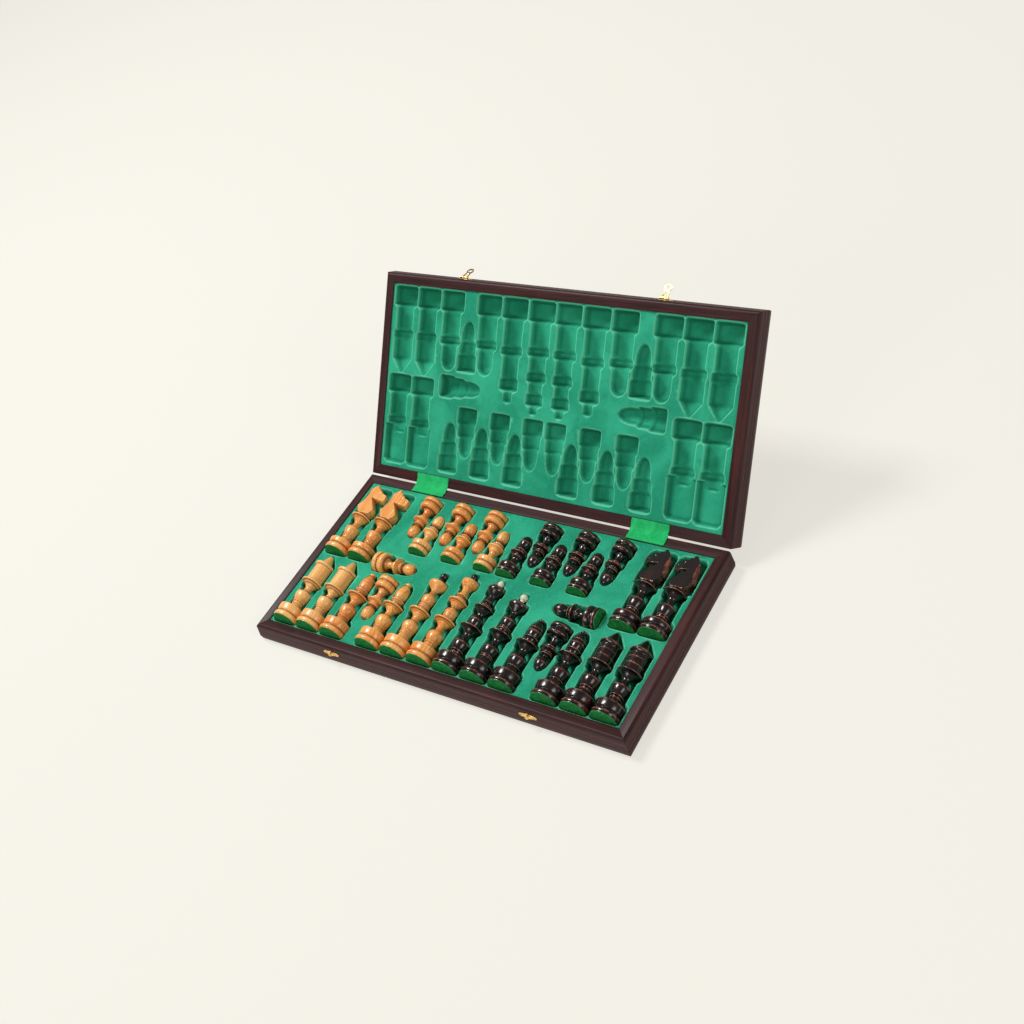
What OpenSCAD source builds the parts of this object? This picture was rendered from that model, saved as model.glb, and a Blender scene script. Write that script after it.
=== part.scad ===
// Folding chess box, stored open: two shallow wooden halves joined by hinges along
// one long edge, each lined with a formed green tray, with a full set of turned
// chessmen lying in the trays. Closed, the halves make a flat case whose outer
// faces are the two halves of a chessboard.
//
// Frame: origin at the centre of the lower half's underside, X along the long
// edge (light men at -X, dark men at +X), Y from the latch edge (-) to the hinge
// edge (+), Z up. All sizes are in mm.

/* [Box] */
// long outer edge of each half at its rim
box_length = 580; // [578:1:640]
// height of one half, playing face to rim
half_height = 28; // [27:0.5:36]
// width of the rim all round
rail_width = 14.5; // [13:0.1:14.7]
// radius of the rim's outer edge
rim_round = 4; // [2:0.1:4.5]
// how far the outer sides lean out towards the playing face
side_flare = 2; // [0.5:0.1:3]
// depth of the two fine lines along the outer sides
side_line = 0.5; // [0.2:0.05:0.7]
// thickness of the board behind the playing face
board_thickness = 3.6; // [3:0.1:4]
// edge of one chessboard square
square_size = 60; // [50:0.5:61]
// thickness of the inlaid squares
square_thickness = 0.8; // [0.5:0.1:1.2]

/* [Lid] */
// angle between the two rims, 0 when the box is shut
open_angle = 131.5; // [100:0.5:165]
// gap between the rims when the box is shut
rim_gap = 0.4; // [0.3:0.05:0.6]
// distance from the hinge axis to the back of each half
axis_setback = 1.2; // [1:0.05:1.4]

/* [Trays] */
// wall thickness of the formed trays
tray_wall = 1.0; // [0.8:0.05:1.1]
// how far the tray lies below the rim
tray_drop = 1.6; // [1:0.1:2.4]
// room between a man and its recess
recess_room = 0.8; // [0.6:0.05:0.85]

/* [Chessmen] */
// foot diameter of king and queen
royal_foot = 38.6; // [32:0.1:38.8]
// foot diameter of bishop, knight and rook
minor_foot = 37.6; // [32:0.1:38.2]
// foot diameter of a pawn
pawn_foot = 30; // [26:0.1:31]
// height of the king with its finial
king_height = 148; // [140:0.5:149]
// height of the queen with its finial
queen_height = 137; // [128:0.5:140]
// height of the bishop
bishop_height = 107; // [98:0.5:108.5]
// height of the knight
knight_height = 125; // [116:0.5:126]
// height of the rook
rook_height = 117; // [108:0.5:118]
// height of a pawn
pawn_height = 68; // [62:0.5:69]
// thickness of the carved horse head
knight_thickness = 15; // [13:0.5:20]
// width of the carved horse head from mane to nose
knight_width = 34.4; // [32:0.1:36]
// room between the royal men's tips and the feet of the pawns beyond them
pawn_gap = 9; // [5:0.1:9.5]
// how far the men's axes lie below the rim
lie_drop = 2; // [1:0.1:2.4]

/* [Hardware] */
// length of a hinge
hinge_length = 38; // [30:0.5:50]
// distance from the end of the box to the middle of a hinge and its felt band
hinge_inset = 114; // [100:1:140]
// width of a felt band
band_width = 55; // [53:0.5:64]
// thickness of a felt band
band_thickness = 1.2; // [0.8:0.1:1.6]
// distance from the end of the box to the middle of a latch
latch_inset = 134; // [90:1:170]
// length of a catch plate along the box
catch_length = 26; // [22:0.5:30]
// length of a hasp plate along the box
hasp_plate_length = 22; // [20:0.5:24]
// angle of the left hasp from its latched place
hasp_left_angle = 144; // [60:1:155]
// angle of the right hasp from its latched place
hasp_right_angle = 120; // [60:1:155]

/* [Hidden] */
$fn = 48;
k = box_length / 580;
box_width = box_length / 2;
half_l = box_length / 2;
half_w = box_width / 2;
rim_z = half_height;
hinge_place = half_l - hinge_inset;
latch_place = half_l - latch_inset;
axis_y = half_w + axis_setback;
axis_z = rim_z + rim_gap / 2;
tray_z = rim_z - tray_drop;
fit = 0.3;
face_sink = 0.4;
board_top = face_sink + board_thickness;
royal_r = royal_foot / 2;
minor_r = minor_foot / 2;
pawn_r = pawn_foot / 2;
felt_t = 1.0;
cone_room = 3;

// the men's axes stay high enough to keep the trays off the boards
lie_z = max(rim_z - lie_drop, board_top + royal_r + recess_room + tray_wall + 0.2);

// shares of the nominal heights, so that a man keeps its form at any height
king_k = king_height / 148;
queen_k = queen_height / 137;
bishop_k = bishop_height / 107;
rook_k = rook_height / 117;
knight_k = knight_height / 125;
horse_k = knight_width / 34.4;
pawn_k = pawn_height / 68;

// places of the men, from the middle of the box and from the latch edge
king_x = 20.9 * k;
queen_x = 64.1 * k;
bishop_x = [106.6 * k, 168.9 * k];
rook_x = [210.6 * k, 251.8 * k];
knight_x = [210.6 * k, 251.8 * k];
front_y = -half_w + 18.6;
knight_y = -half_w + 143.3 * k;
pawn_front_x = [18.3 * k, 72.5 * k, 128 * k];
pawn_front_y = front_y + max(king_height, queen_height) + pawn_gap;
pawn_back_x = [45 * k, 100.4 * k, 155.6 * k];
pawn_back_y = half_w - 23.6 * k;
pawn_mid_x = 138 * k;
pawn_mid_y = -half_w + 124.2 * k;
pawn_side_x = 178.4 * k;
pawn_side_y = -half_w + 148 * k;

frame_wood = [0.36, 0.19, 0.17];
light_wood = [0.9, 0.66, 0.38];
dark_wood = [0.13, 0.07, 0.07];
ivory = [0.93, 0.89, 0.78];
flock = [0.16, 0.6, 0.45];
felt = [0.18, 0.72, 0.42];
brass = [0.85, 0.7, 0.42];
square_light = [0.87, 0.72, 0.5];
square_dark = [0.42, 0.22, 0.13];

// ---- turned forms: lists of [radius, height] -------------------------------

// part of an ellipse round [cr, cz], from angle a0 to a1
function bow(cr, cz, a, b, a0, a1, n) =
  [for (i = [0:n]) let (t = a0 + (a1 - a0) * i / n) [cr + a * cos(t), cz + b * sin(t)]];

// a small raised ring with its middle at height z
function bead(r, z, b) = bow(r - b, z, b, b * 0.8, -90, 90, 4);

// the foot with its felt disc: a flange up to the groove at height g, above it a
// thick ring that grows to its crest at height c, closed at height h
function foot(r, g, c, h) = concat(
  [[0, 0], [r - 1, 0]],
  bow(r - 2, (felt_t + g - 0.8) / 2, 2, (g - 0.8 - felt_t) / 2, -60, 90, 6),
  [[r - 2.4, g - 0.5], [r - 2.4, g + 0.4], [r - 1.4, g + 0.9], [r - 0.6, g + 3],
   [r - 0.15, c - 2.6]],
  bow(r * 0.5, c, r * 0.5, h - c, 0, 90, 6));

// a ball with its widest place at height z, long below it and short above
function urn(z, r, low, high) = concat(
  bow(0, z, r, low, -44, 0, 4), bow(0, z, r, high, 15, 60, 3));

// the thin disc at height z, flaring out of the neck below it
function dish(r, z, r_neck, r_top) = [
  [r_neck, z - 11], [r_neck * 1.02, z - 9.8], [r_neck + 1.4, z - 7], [r * 0.6, z - 3.4],
  [r * 0.83, z - 1.4], [r - 0.6, z - 0.9], [r, z - 0.4], [r, z + 0.6], [r - 0.8, z + 1.2],
  [r_top + 1.6, z + 1.9], [r_top, z + 2.6]];

// heights z are nominal; s is the man's share of its nominal height
function tall(points, s) = [for (p = points) [p[0], p[1] * s]];

function king_form() = tall(concat(
  foot(royal_r, 9, 19.7, 22.5), bead(8.4, 27, 1.4), bead(9, 31.1, 1.3),
  urn(43.1, 10.9, 15.3, 8), dish(15.8, 66.6, 5.1, 6), urn(80.7, 8.8, 14.6, 8.7),
  dish(13.8, 99.4, 4.6, 8.2), bead(9.3, 103.6, 1.6), [[6.2, 106], [5.8, 108.6]],
  bead(7.8, 110.4, 1.3),
  [[5, 112.4], [4.7, 116], [4.9, 120], [6.4, 123], [9, 126], [11.2, 128.4], [11.9, 130.6],
   [11.9, 133], [11.2, 134.6], [9.4, 135.7], [6, 136.2], [0, 136.2]]), king_k);

function queen_form() = tall(concat(
  foot(royal_r, 9, 19.7, 22.5), [[8.2, 26], [7.6, 31]], bead(8.7, 33.2, 1.2),
  bead(8.7, 35.9, 1.1), urn(47.2, 11, 14, 8), dish(15.6, 70, 5.1, 7.2),
  bead(8, 74, 1), [[6.4, 76]], bead(8, 78.4, 1.2), bead(8, 81.2, 1),
  urn(92.4, 9.2, 13.4, 8.1),
  [[4.2, 102], [4.2, 105], [5.2, 107.4], [8, 110], [11.4, 112.6], [13, 114.6], [13.3, 116.4],
   [13.3, 118], [12.4, 119.8], [10, 120.8], [6.5, 121.2], [0, 121.2]]), queen_k);

function bishop_form() = tall(concat(
  foot(minor_r, 9, 19.7, 22.5), [[8.2, 26], [7.6, 30]], bead(8.8, 31.8, 1.3),
  urn(44, 11, 15.3, 8.4), dish(15.4, 66.8, 5.1, 6.9),
  [[6.6, 70.4], [6.8, 73], [8, 75.8], [9.4, 76.9], [9.5, 77.5], [9.3, 78.1], [7.6, 78.6]],
  bow(0, 87, 8.9, 14, -34, 0, 3), bow(0, 87, 8.9, 16.5, 9, 15, 1), [[8.1, 91.7]],
  bow(0, 87, 8.9, 16.5, 18, 69, 5),
  [[3, 102.9], [4.3, 103.6], [4.6, 104.8], [4.3, 106.1], [3.2, 106.8], [0, 107]]), bishop_k);

function rook_form() = tall(concat(
  foot(minor_r, 9, 19.7, 22.5), [[8.6, 24.6], [7.2, 28]], bead(8, 30, 1.1), [[7, 32.2]],
  bead(9, 34, 1.3), urn(46.5, 11.6, 15.3, 6.2), dish(16.2, 67.3, 5, 12.2),
  [[12.2, 78.7], [11.7, 79], [12.2, 79.3], [12.2, 88], [11.7, 88.3], [12.2, 88.6],
   [12.2, 94], [13.2, 95.6], [14.8, 96.8], [14.8, 99.2], [14.2, 99.8], [9.2, 100],
   [8.8, 100.6], [3.8, 114.4], [2.6, 116.4], [0, 117]]), rook_k);

function knight_stem_form() = tall(concat(
  foot(minor_r, 9.6, 17.4, 19.6), [[7.8, 23]], bead(8.2, 27, 1.2), bead(8.6, 30.5, 1.2),
  urn(43.9, 10.7, 17.2, 6.1), dish(15.3, 66, 5.1, 7), [[6.8, 70.4]], bead(9.4, 73, 1.3),
  [[6, 75], [6, 77], [0, 77]]), knight_k);

function pawn_form() = tall(concat(
  foot(pawn_r, 8.4, 15, 18.8), [[5.8, 20.6], [4.9, 24]], dish(12.2, 37.4, 4.8, 6.2),
  bead(6.9, 41.4, 0.9), bead(7.6, 44, 1.2), [[4.6, 46]],
  bow(0, 57, 8, 11, -62, 90, 10)), pawn_k);

function king_finial_form() = tall([
  [0, 136.3], [3.6, 136.3], [2.9, 137.4], [2.8, 138.6], [3.4, 139.8], [4.1, 141.4],
  [4.2, 143], [3.9, 144.8], [3, 146.6], [1.6, 147.8], [0, 148]], king_k);

function queen_finial_form() = tall(concat(
  [[0, 121.3], [3.8, 121.3], [3, 122.6], [2.8, 124.6]],
  bow(0, 131.8, 5.2, 5.2, -58, 90, 8)), queen_k);

module turned(points) rotate_extrude() polygon(points);

// ---- carved knight ----------------------------------------------------------

// side of the horse head: u from mane (-) to nose (+), v up from the neck rings
horse_side = [
  [-9, 2], [-12.5, 7], [-16.4, 12.6], [-16.6, 18], [-16, 25], [-15.4, 32], [-14.2, 39],
  [-11.6, 45], [-8.6, 49.6], [-5.6, 52.6], [-3.6, 53], [-2.2, 51.6], [-1.4, 48.6],
  [1.6, 48], [2.8, 45.2], [7.2, 44], [8.6, 41.8], [14.4, 40.8], [16.6, 39.6], [17.8, 37],
  [17.6, 31.4], [15.8, 29], [6, 29], [-2.6, 30.6], [3, 23], [8.6, 16.4], [12.6, 11.4],
  [12.2, 7], [9, 2]];

module horse_head() {
  head_k = (knight_height - 72 * knight_k) / 53;
  t = knight_thickness;
  translate([0, 0, 72 * knight_k]) difference() {
    intersection() {
      rotate([90, 0, 0]) linear_extrude(t, center = true)
        polygon([for (p = horse_side) [p[0] * horse_k, p[1] * head_k]]);
      // a drum along the head takes the corners off the mane and the nose
      cylinder(r = 18.4 * horse_k, h = 60 * head_k);
    }
    for (m = [0, 1]) mirror([0, m, 0]) {
      // the cheek slopes in towards the nose
      translate([7 * horse_k, t / 2, 24 * head_k]) rotate([0, 0, -14])
        cube([20, t / 2, 27 * head_k]);
      // a flat facet along the mane
      translate([-10.4 * horse_k, t / 2, 0]) rotate([0, 0, 220]) translate([0, -9, 0])
        cube([14, 9, 54 * head_k]);
      // eye and nostril
      translate([6.4 * horse_k, t / 2 - 0.5, 39 * head_k]) rotate([-90, 0, 0])
        cylinder(r1 = 0.9, r2 = 1.5, h = 1);
      translate([13.4 * horse_k, t * 0.27, 34.6 * head_k]) rotate([-90, 0, -14])
        cylinder(r1 = 0.6, r2 = 1.5, h = t * 0.3);
    }
  }
}

module knight() {
  turned(knight_stem_form());
  horse_head();
}

// ---- places in the box ------------------------------------------------------

// lays an upright man down with its foot towards the latch edge
module foot_front(x, y) translate([x, y, lie_z]) rotate([-90, 0, 0]) children();

// the same with its foot towards the hinge edge
module foot_back(x, y) translate([x, y, lie_z]) rotate([90, 0, 0]) children();

// the same with its foot towards the box's end on side s
module foot_end(s, x, y) translate([s * x, y, lie_z]) rotate([0, -s * 90, 0]) children();

// pawn i, from 0 to 7, on side s
module pawn_place(s, i) {
  if (i < 3) foot_front(s * pawn_front_x[i], pawn_front_y) children();
  else if (i < 6) foot_back(s * pawn_back_x[i - 3], pawn_back_y) children();
  else if (i == 6) foot_back(s * pawn_mid_x, pawn_mid_y) children();
  else foot_end(s, pawn_side_x, pawn_side_y) children();
}

// a knight's nose points to the middle of the box
module knight_place(s, i)
  foot_front(s * knight_x[i], knight_y) rotate([0, 0, s > 0 ? 180 : 0]) children();

// ---- recesses: hollows round the men, grown by g for their outside --------------

// stepped hollow; each step is [radius, top height]
function steps(list, g, s) = concat(
  [[0, -recess_room - g], [list[0][0] + recess_room + g, -recess_room - g]],
  [for (i = [0:len(list) - 1]) each [
    [list[i][0] + recess_room + g, step_end(list, i, g) * s],
    [i < len(list) - 1 ? list[i + 1][0] + recess_room + g : 0, step_end(list, i, g) * s]]]);

// a step ends later where the next one is narrower, earlier where it is wider
function step_end(list, i, g) = list[i][1] +
  (i == len(list) - 1 || list[i + 1][0] < list[i][0] ? g : -g);

king_steps = [[royal_r, 26], [13.6, 61], [16.3, 71.5], [11.4, 94], [14.4, 106], [9.6, 123],
  [12.6, 137.6], [5.2, 149]];
queen_steps = [[royal_r, 26], [13.6, 64.5], [16.1, 74.8], [11.6, 107.5], [13.9, 122.6],
  [5.4, 138.2]];
bishop_steps = [[minor_r, 26], [13.4, 61], [16, 71.5], [10.8, 94]];
rook_steps = [[minor_r, 26], [13.4, 61.5], [16.9, 71.5], [15.4, 101]];
knight_steps = [[minor_r, 24], [13.4, 60], [15.9, 70], [12, 82]];
pawn_steps = [[pawn_r, 21.5], [12.6, 39.6], [9.8, 48.5]];

module recess_turned(list, g, s) rotate_extrude() polygon(steps(list, g, s));

module recess_tip(r, z0, z1, g)
  rotate_extrude() polygon(concat([[0, z0]],
    bow(0, z0, r + recess_room + g, z1 - z0 + recess_room + g, 0, 90, 5)));

module recess_cone(r, z0, z1, g)
  translate([0, 0, z0]) cylinder(r1 = r + recess_room + g, r2 = 1 + g,
    h = z1 - z0 + recess_room + g);

module recess_head(g) {
  w = 18.6 * horse_k + recess_room + g;
  top = knight_height + recess_room + g;
  deep = knight_thickness / 2 + recess_room + g;
  low = 70.6 * knight_k - g;
  round_r = 8 + g;
  translate([0, deep, 0]) rotate([90, 0, 0]) linear_extrude(2 * deep) union() {
    translate([-w, low]) square([2 * w, top - round_r - low]);
    translate([-w + round_r, low]) square([2 * (w - round_r), top - low]);
    for (x = [-1, 1]) translate([x * (w - round_r), top - round_r]) circle(round_r);
  }
}

module recesses(g) for (s = [-1, 1]) {
  foot_front(s * king_x, front_y) recess_turned(king_steps, g, king_k);
  foot_front(s * queen_x, front_y) recess_turned(queen_steps, g, queen_k);
  for (i = [0:1]) {
    foot_front(s * bishop_x[i], front_y) {
      recess_turned(bishop_steps, g, bishop_k);
      recess_tip(10.8, 93 * bishop_k, bishop_height, g);
    }
    foot_front(s * rook_x[i], front_y) {
      recess_turned(rook_steps, g, rook_k);
      recess_cone(15.4, 100 * rook_k, rook_height + cone_room, g);
    }
    knight_place(s, i) {
      recess_turned(knight_steps, g, knight_k);
      recess_head(g);
    }
  }
  for (i = [0:7]) pawn_place(s, i) {
    recess_turned(pawn_steps, g, pawn_k);
    recess_tip(9.8, 47.5 * pawn_k, pawn_height, g);
  }
}

// ---- one half of the box, rim up -------------------------------------------

// outline of one outer side, from the playing face up: [out, height]
function side_line_points() = let (
  low = rim_z * 0.24, high = rim_z - rim_round,
  lean = side_flare / (high - low)) concat(
  [[side_flare * 0.45, 0], [side_flare, low]],
  [for (z = [rim_z * 0.43, rim_z * 0.62], p = [[-side_line, 0], [0, -side_line], [side_line, 0]])
    [(high - z - p[0]) * lean + p[1], z + p[0]]],
  bow(-rim_round, rim_z - rim_round, rim_round, rim_round, 0, 90, 6));

// solid block with the moulded outline on front and ends, flat at the hinge edge
module half_block() {
  side = side_line_points();
  n = len(side);
  intersection() {
    rotate([90, 0, 90]) linear_extrude(box_length + 20, center = true)
      polygon(concat([for (p = side) [-half_w - p[0], p[1]]],
        [[half_w - 0.6, rim_z], [half_w, rim_z - 0.6], [half_w, 0]]));
    rotate([90, 0, 0]) linear_extrude(box_width + 20, center = true)
      polygon(concat([for (p = side) [-half_l - p[0], p[1]]],
        [for (i = [n - 1:-1:0]) [half_l + side[i][0], side[i][1]]]));
  }
}

// the board's outline lies inside the front and end rails and over the hinge rail;
// the latch's nails go into holes below a plate of the given length
module half_frame(plate_length) difference() {
  half_block();
  translate([-half_l + rail_width, -half_w + rail_width, board_top])
    cube([box_length - 2 * rail_width, box_width - 2 * rail_width, rim_z]);
  translate([-half_l + rail_width, -half_w + rail_width, -1])
    cube([box_length - 2 * rail_width, box_width, board_top + 1]);
  for (s = [-1, 1]) translate([s * hinge_place, 0, 0]) {
    // seat of the leaf, room for the knuckles, and the screw holes
    translate([-hinge_length / 2 - fit / 2, half_w - leaf_reach - fit, leaf_z - 0.05])
      cube([hinge_length + fit, leaf_reach + 5, rim_z]);
    translate([-hinge_length / 2 - 1, axis_y, axis_z]) rotate([0, 90, 0])
      cylinder(r = knuckle_r + fit, h = hinge_length + 2);
    for (x = screw_x) translate([x, half_w - screw_back, leaf_z - screw_long - 0.3])
      cylinder(r = screw_r + 0.1, h = screw_long + 1);
  }
  for (s = [-1, 1], t = [-1, 1]) on_side(s * latch_place, plate_z)
    translate([t * plate_length * nail_share, 0, -nail_long - fit])
      cylinder(r = nail_r + 0.1, h = nail_long + 2);
}

module half_board() difference() {
  translate([-half_l + rail_width + 0.05, -half_w + rail_width + 0.05, face_sink])
    cube([box_length - 2 * rail_width - 0.1, box_width - rail_width - 0.05,
      board_thickness]);
  translate([-4 * square_size - 0.05, half_w - 4 * square_size - 0.05, face_sink - 1])
    cube([8 * square_size + 0.1, 4 * square_size + 1, square_thickness + 1]);
}

// odd is 0 or 1 and picks one colour of the 8 by 4 field
module half_squares(odd)
  for (i = [0:7], j = [0:3]) if ((i + j) % 2 == odd)
    translate([(i - 4) * square_size + 0.1, half_w - (j + 1) * square_size + 0.1, face_sink])
      cube([square_size - 0.2, square_size - 0.2, square_thickness]);

module half_tray() {
  edge_l = half_l - rail_width - fit / 2;
  edge_w = half_w - rail_width - fit / 2;
  difference() {
    union() {
      translate([-edge_l, -edge_w, tray_z - tray_wall])
        cube([2 * edge_l, 2 * edge_w, tray_wall]);
      intersection() {
        recesses(tray_wall);
        translate([-edge_l, -edge_w, 0]) cube([2 * edge_l, 2 * edge_w, tray_z - 0.2]);
      }
    }
    recesses(0);
  }
}

// turns a half built rim up into the lid at the given angle between the rims
module as_lid(angle = open_angle)
  translate([0, axis_y, axis_z]) rotate([180 - angle, 0, 0])
    translate([0, 0, -axis_z]) mirror([0, 1, 0]) translate([0, -axis_y, 0]) children();

// ---- hinges -------------------------------------------------------------------

leaf_t = 0.8;
leaf_z = rim_z - 0.1 - leaf_t;
leaf_reach = 11;
knuckle_r = 1.7;
hinge_pin_r = 0.8;
screw_r = 1.0;
screw_long = 8;
screw_back = 7;
screw_x = [-hinge_length * 0.34, 0, hinge_length * 0.34];
knuckle_cuts = [-0.5, -0.3, -0.1, 0.1, 0.3, 0.5];

// one leaf; part 0 carries the three odd knuckles, part 1 the two even ones
module leaf(part) difference() {
  union() {
    translate([-hinge_length / 2, half_w - leaf_reach, leaf_z])
      cube([hinge_length, leaf_reach - knuckle_r - fit + axis_setback, leaf_t]);
    for (i = [part:2:4]) {
      x0 = knuckle_cuts[i] * hinge_length + fit / 2;
      x1 = knuckle_cuts[i + 1] * hinge_length - fit / 2;
      translate([x0, axis_y, axis_z]) rotate([0, 90, 0]) cylinder(r = knuckle_r, h = x1 - x0);
      translate([x0, half_w - 2, leaf_z]) cube([x1 - x0, 2.1, leaf_t]);
    }
  }
  translate([-hinge_length / 2 - 1, axis_y, axis_z]) rotate([0, 90, 0])
    cylinder(r = hinge_pin_r + 0.05, h = hinge_length + 2);
  for (x = screw_x) translate([x, half_w - screw_back, leaf_z - 0.1])
    cylinder(r1 = screw_r, r2 = screw_r * 2 + 0.1, h = leaf_t + 0.2);
}

module leaf_screws() for (s = [-1, 1], x = screw_x)
  translate([s * hinge_place + x, half_w - screw_back, leaf_z]) difference() {
    union() {
      translate([0, 0, -screw_long]) cylinder(r1 = 0.2, r2 = screw_r - 0.1, h = 3);
      translate([0, 0, -screw_long + 3]) cylinder(r = screw_r - 0.1, h = screw_long - 2.9);
      cylinder(r1 = screw_r - 0.1, r2 = screw_r * 2 - 0.1, h = leaf_t);
    }
    translate([-2.5, -0.25, leaf_t - 0.35]) cube([5, 0.5, 1]);
  }

// ---- felt bands over the hinges ----------------------------------------------

// the band's underside on the base rim: [distance in front of the axis, height above it]
function band_half() = [
  [rail_width + axis_setback - 0.2, fit - rim_gap / 2], [10.4, fit - rim_gap / 2]];

// a point of the lid's own half, swung to the open angle: [y, z]
function swung(p) = [
  -cos(open_angle) * p[0] - sin(open_angle) * p[1],
  sin(open_angle) * p[0] - cos(open_angle) * p[1]];

// the bend over the gap: an arc that meets both rims 8 mm from the axis
function band_bend(lift) = let (
  turn = 180 - open_angle, reach = 8, h = fit - rim_gap / 2,
  bend_r = reach / tan(turn / 2), r = bend_r - lift) [
  for (i = [0:6]) let (t = turn * i / 6)
    [-reach - h * tan(turn / 2) + r * sin(t), h + bend_r - r * cos(t)]];

module felt_band() {
  half = band_half();
  n = len(half);
  lift = band_thickness;
  path = concat(
    [for (p = half) [-p[0], p[1]]], band_bend(0), [for (i = [n - 1:-1:0]) swung(half[i])]);
  back = concat(
    [for (p = half) [-p[0], p[1] + lift]], band_bend(lift),
    [for (i = [n - 1:-1:0]) swung([half[i][0], half[i][1] + lift])]);
  m = len(back);
  translate([0, axis_y, axis_z]) rotate([90, 0, 90])
    linear_extrude(band_width, center = true)
      polygon(concat(path, [for (i = [m - 1:-1:0]) back[i]]));
}

// ---- latches --------------------------------------------------------------------

side_tilt = atan(side_flare / (rim_z * 0.76 - rim_round));
plate_t = 0.8;
plate_drop = 9.6;
plate_z = rim_z - plate_drop;
catch_height = 9.4;
hasp_plate_height = 8;
hasp_axis_drop = 5.6;
hasp_knuckle_r = 1.5;
hasp_wire_r = 0.7;
hasp_out = side_flare * 0.2 + plate_t + hasp_knuckle_r + 0.5;
hasp_to_stud = hasp_axis_drop + rim_gap + plate_drop;
stud_r = 2.6;
nail_r = 0.6;
nail_long = 5;
nail_share = 0.36;
ear_t = 1.3;
hasp_half = 4.8;
ear_x = hasp_half + 0.2 + ear_t / 2;

// puts the origin on the leaning outer side at height z, with +Z pointing out of it
module on_side(x, z) {
  low = rim_z * 0.24;
  high = rim_z - rim_round;
  translate([x, -half_w - side_flare * (high - z) / (high - low), z])
    rotate([90 - side_tilt, 0, 0]) children();
}

// waisted plate with two nail holes, lying in the side's plane
module latch_plate(w, h) linear_extrude(plate_t) difference() {
  union() {
    circle(h / 2);
    for (s = [-1, 1]) {
      polygon([[0, -h * 0.46], [s * w * 0.34, -h * 0.3], [s * w * 0.34, h * 0.3], [0, h * 0.46]]);
      translate([s * w * nail_share, 0]) circle(h * 0.33);
      polygon([[s * w * 0.38, -h * 0.26], [s * w * 0.5, -h * 0.1],
        [s * w * 0.5, h * 0.1], [s * w * 0.38, h * 0.26]]);
    }
  }
  for (s = [-1, 1]) translate([s * w * nail_share, 0]) circle(nail_r + 0.1);
}

module catch_plate() {
  latch_plate(catch_length, catch_height);
  translate([0, 0, plate_t - 0.1]) {
    cylinder(r = stud_r - 0.8, h = 2.4);
    translate([0, 0, 2.3]) rotate_extrude()
      polygon(concat([[0, 0], [stud_r - 0.4, 0]], bow(0, 0.4, stud_r, 1.4, 0, 90, 5)));
  }
}

module plate_nails(w) for (s = [-1, 1]) translate([s * w * nail_share, 0, 0]) {
  translate([0, 0, plate_t]) rotate_extrude()
    polygon(concat([[0, 0]], bow(0, 0, 1.15, 0.7, 0, 90, 4)));
  translate([0, 0, -nail_long]) cylinder(r1 = 0.15, r2 = nail_r, h = 1.4);
  translate([0, 0, 1.4 - nail_long]) cylinder(r = nail_r, h = nail_long - 1.3 + plate_t);
}

// the lid's plate with two ears and the wire that the hasp turns on
module hasp_plate() {
  on_side(0, plate_z) latch_plate(hasp_plate_length, hasp_plate_height);
  for (s = [-1, 1]) {
    translate([s * ear_x - ear_t / 2, -half_w - hasp_out, rim_z - hasp_axis_drop])
      rotate([0, 90, 0]) cylinder(r = hasp_knuckle_r, h = ear_t);
    on_side(0, plate_z) translate([s * ear_x - ear_t / 2, 0, 0]) cube([ear_t, 4, plate_t]);
    translate([s * ear_x - ear_t / 2, -half_w - hasp_out, rim_z - hasp_axis_drop - 1.4])
      cube([ear_t, hasp_out - plate_t * 0.5 - side_flare * 0.2, 1]);
  }
  translate([-ear_x - ear_t, -half_w - hasp_out, rim_z - hasp_axis_drop]) rotate([0, 90, 0])
    cylinder(r = hasp_wire_r, h = 2 * (ear_x + ear_t));
}

// the swinging part, hanging from its wire in its latched place, axis on the origin
module hasp() {
  d = hasp_to_stud;
  difference() {
    union() {
      translate([-hasp_half, 0, 0]) rotate([0, 90, 0])
        cylinder(r = hasp_knuckle_r, h = 2 * hasp_half);
      translate([0, -0.4, 0]) rotate([90, 0, 0]) linear_extrude(1, center = true)
        difference() {
          union() {
            polygon([[-hasp_half, 0], [hasp_half, 0], [hasp_half, -2.6], [3.4, -d + 3.4],
              [-3.4, -d + 3.4], [-hasp_half, -2.6]]);
            translate([0, -d]) circle(5.2);
          }
          translate([0, -d]) circle(stud_r + 0.7);
          polygon([[-3, -2.8], [3, -2.8], [1.9, -d + 5.6], [-1.9, -d + 5.6]]);
        }
    }
    translate([-6, 0, 0]) rotate([0, 90, 0]) cylinder(r = hasp_wire_r + 0.06, h = 12);
  }
}

module hasp_at(x, angle) as_lid() translate([x, -half_w - hasp_out, rim_z - hasp_axis_drop])
  mirror([0, 0, 1]) rotate([-angle, 0, 0]) hasp();

// ---- sub-parts --------------------------------------------------------------------

module base_frame() color(frame_wood) half_frame(catch_length);
module base_board() color(frame_wood) half_board();
module base_dark_squares() color(square_dark) half_squares(1);
module base_light_squares() color(square_light) half_squares(0);
module base_tray() color(flock) half_tray();
module lid_frame() color(frame_wood) as_lid() half_frame(hasp_plate_length);
module lid_board() color(frame_wood) as_lid() half_board();
module lid_dark_squares() color(square_dark) as_lid() half_squares(0);
module lid_light_squares() color(square_light) as_lid() half_squares(1);
module lid_tray() color(flock) as_lid() half_tray();

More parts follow.
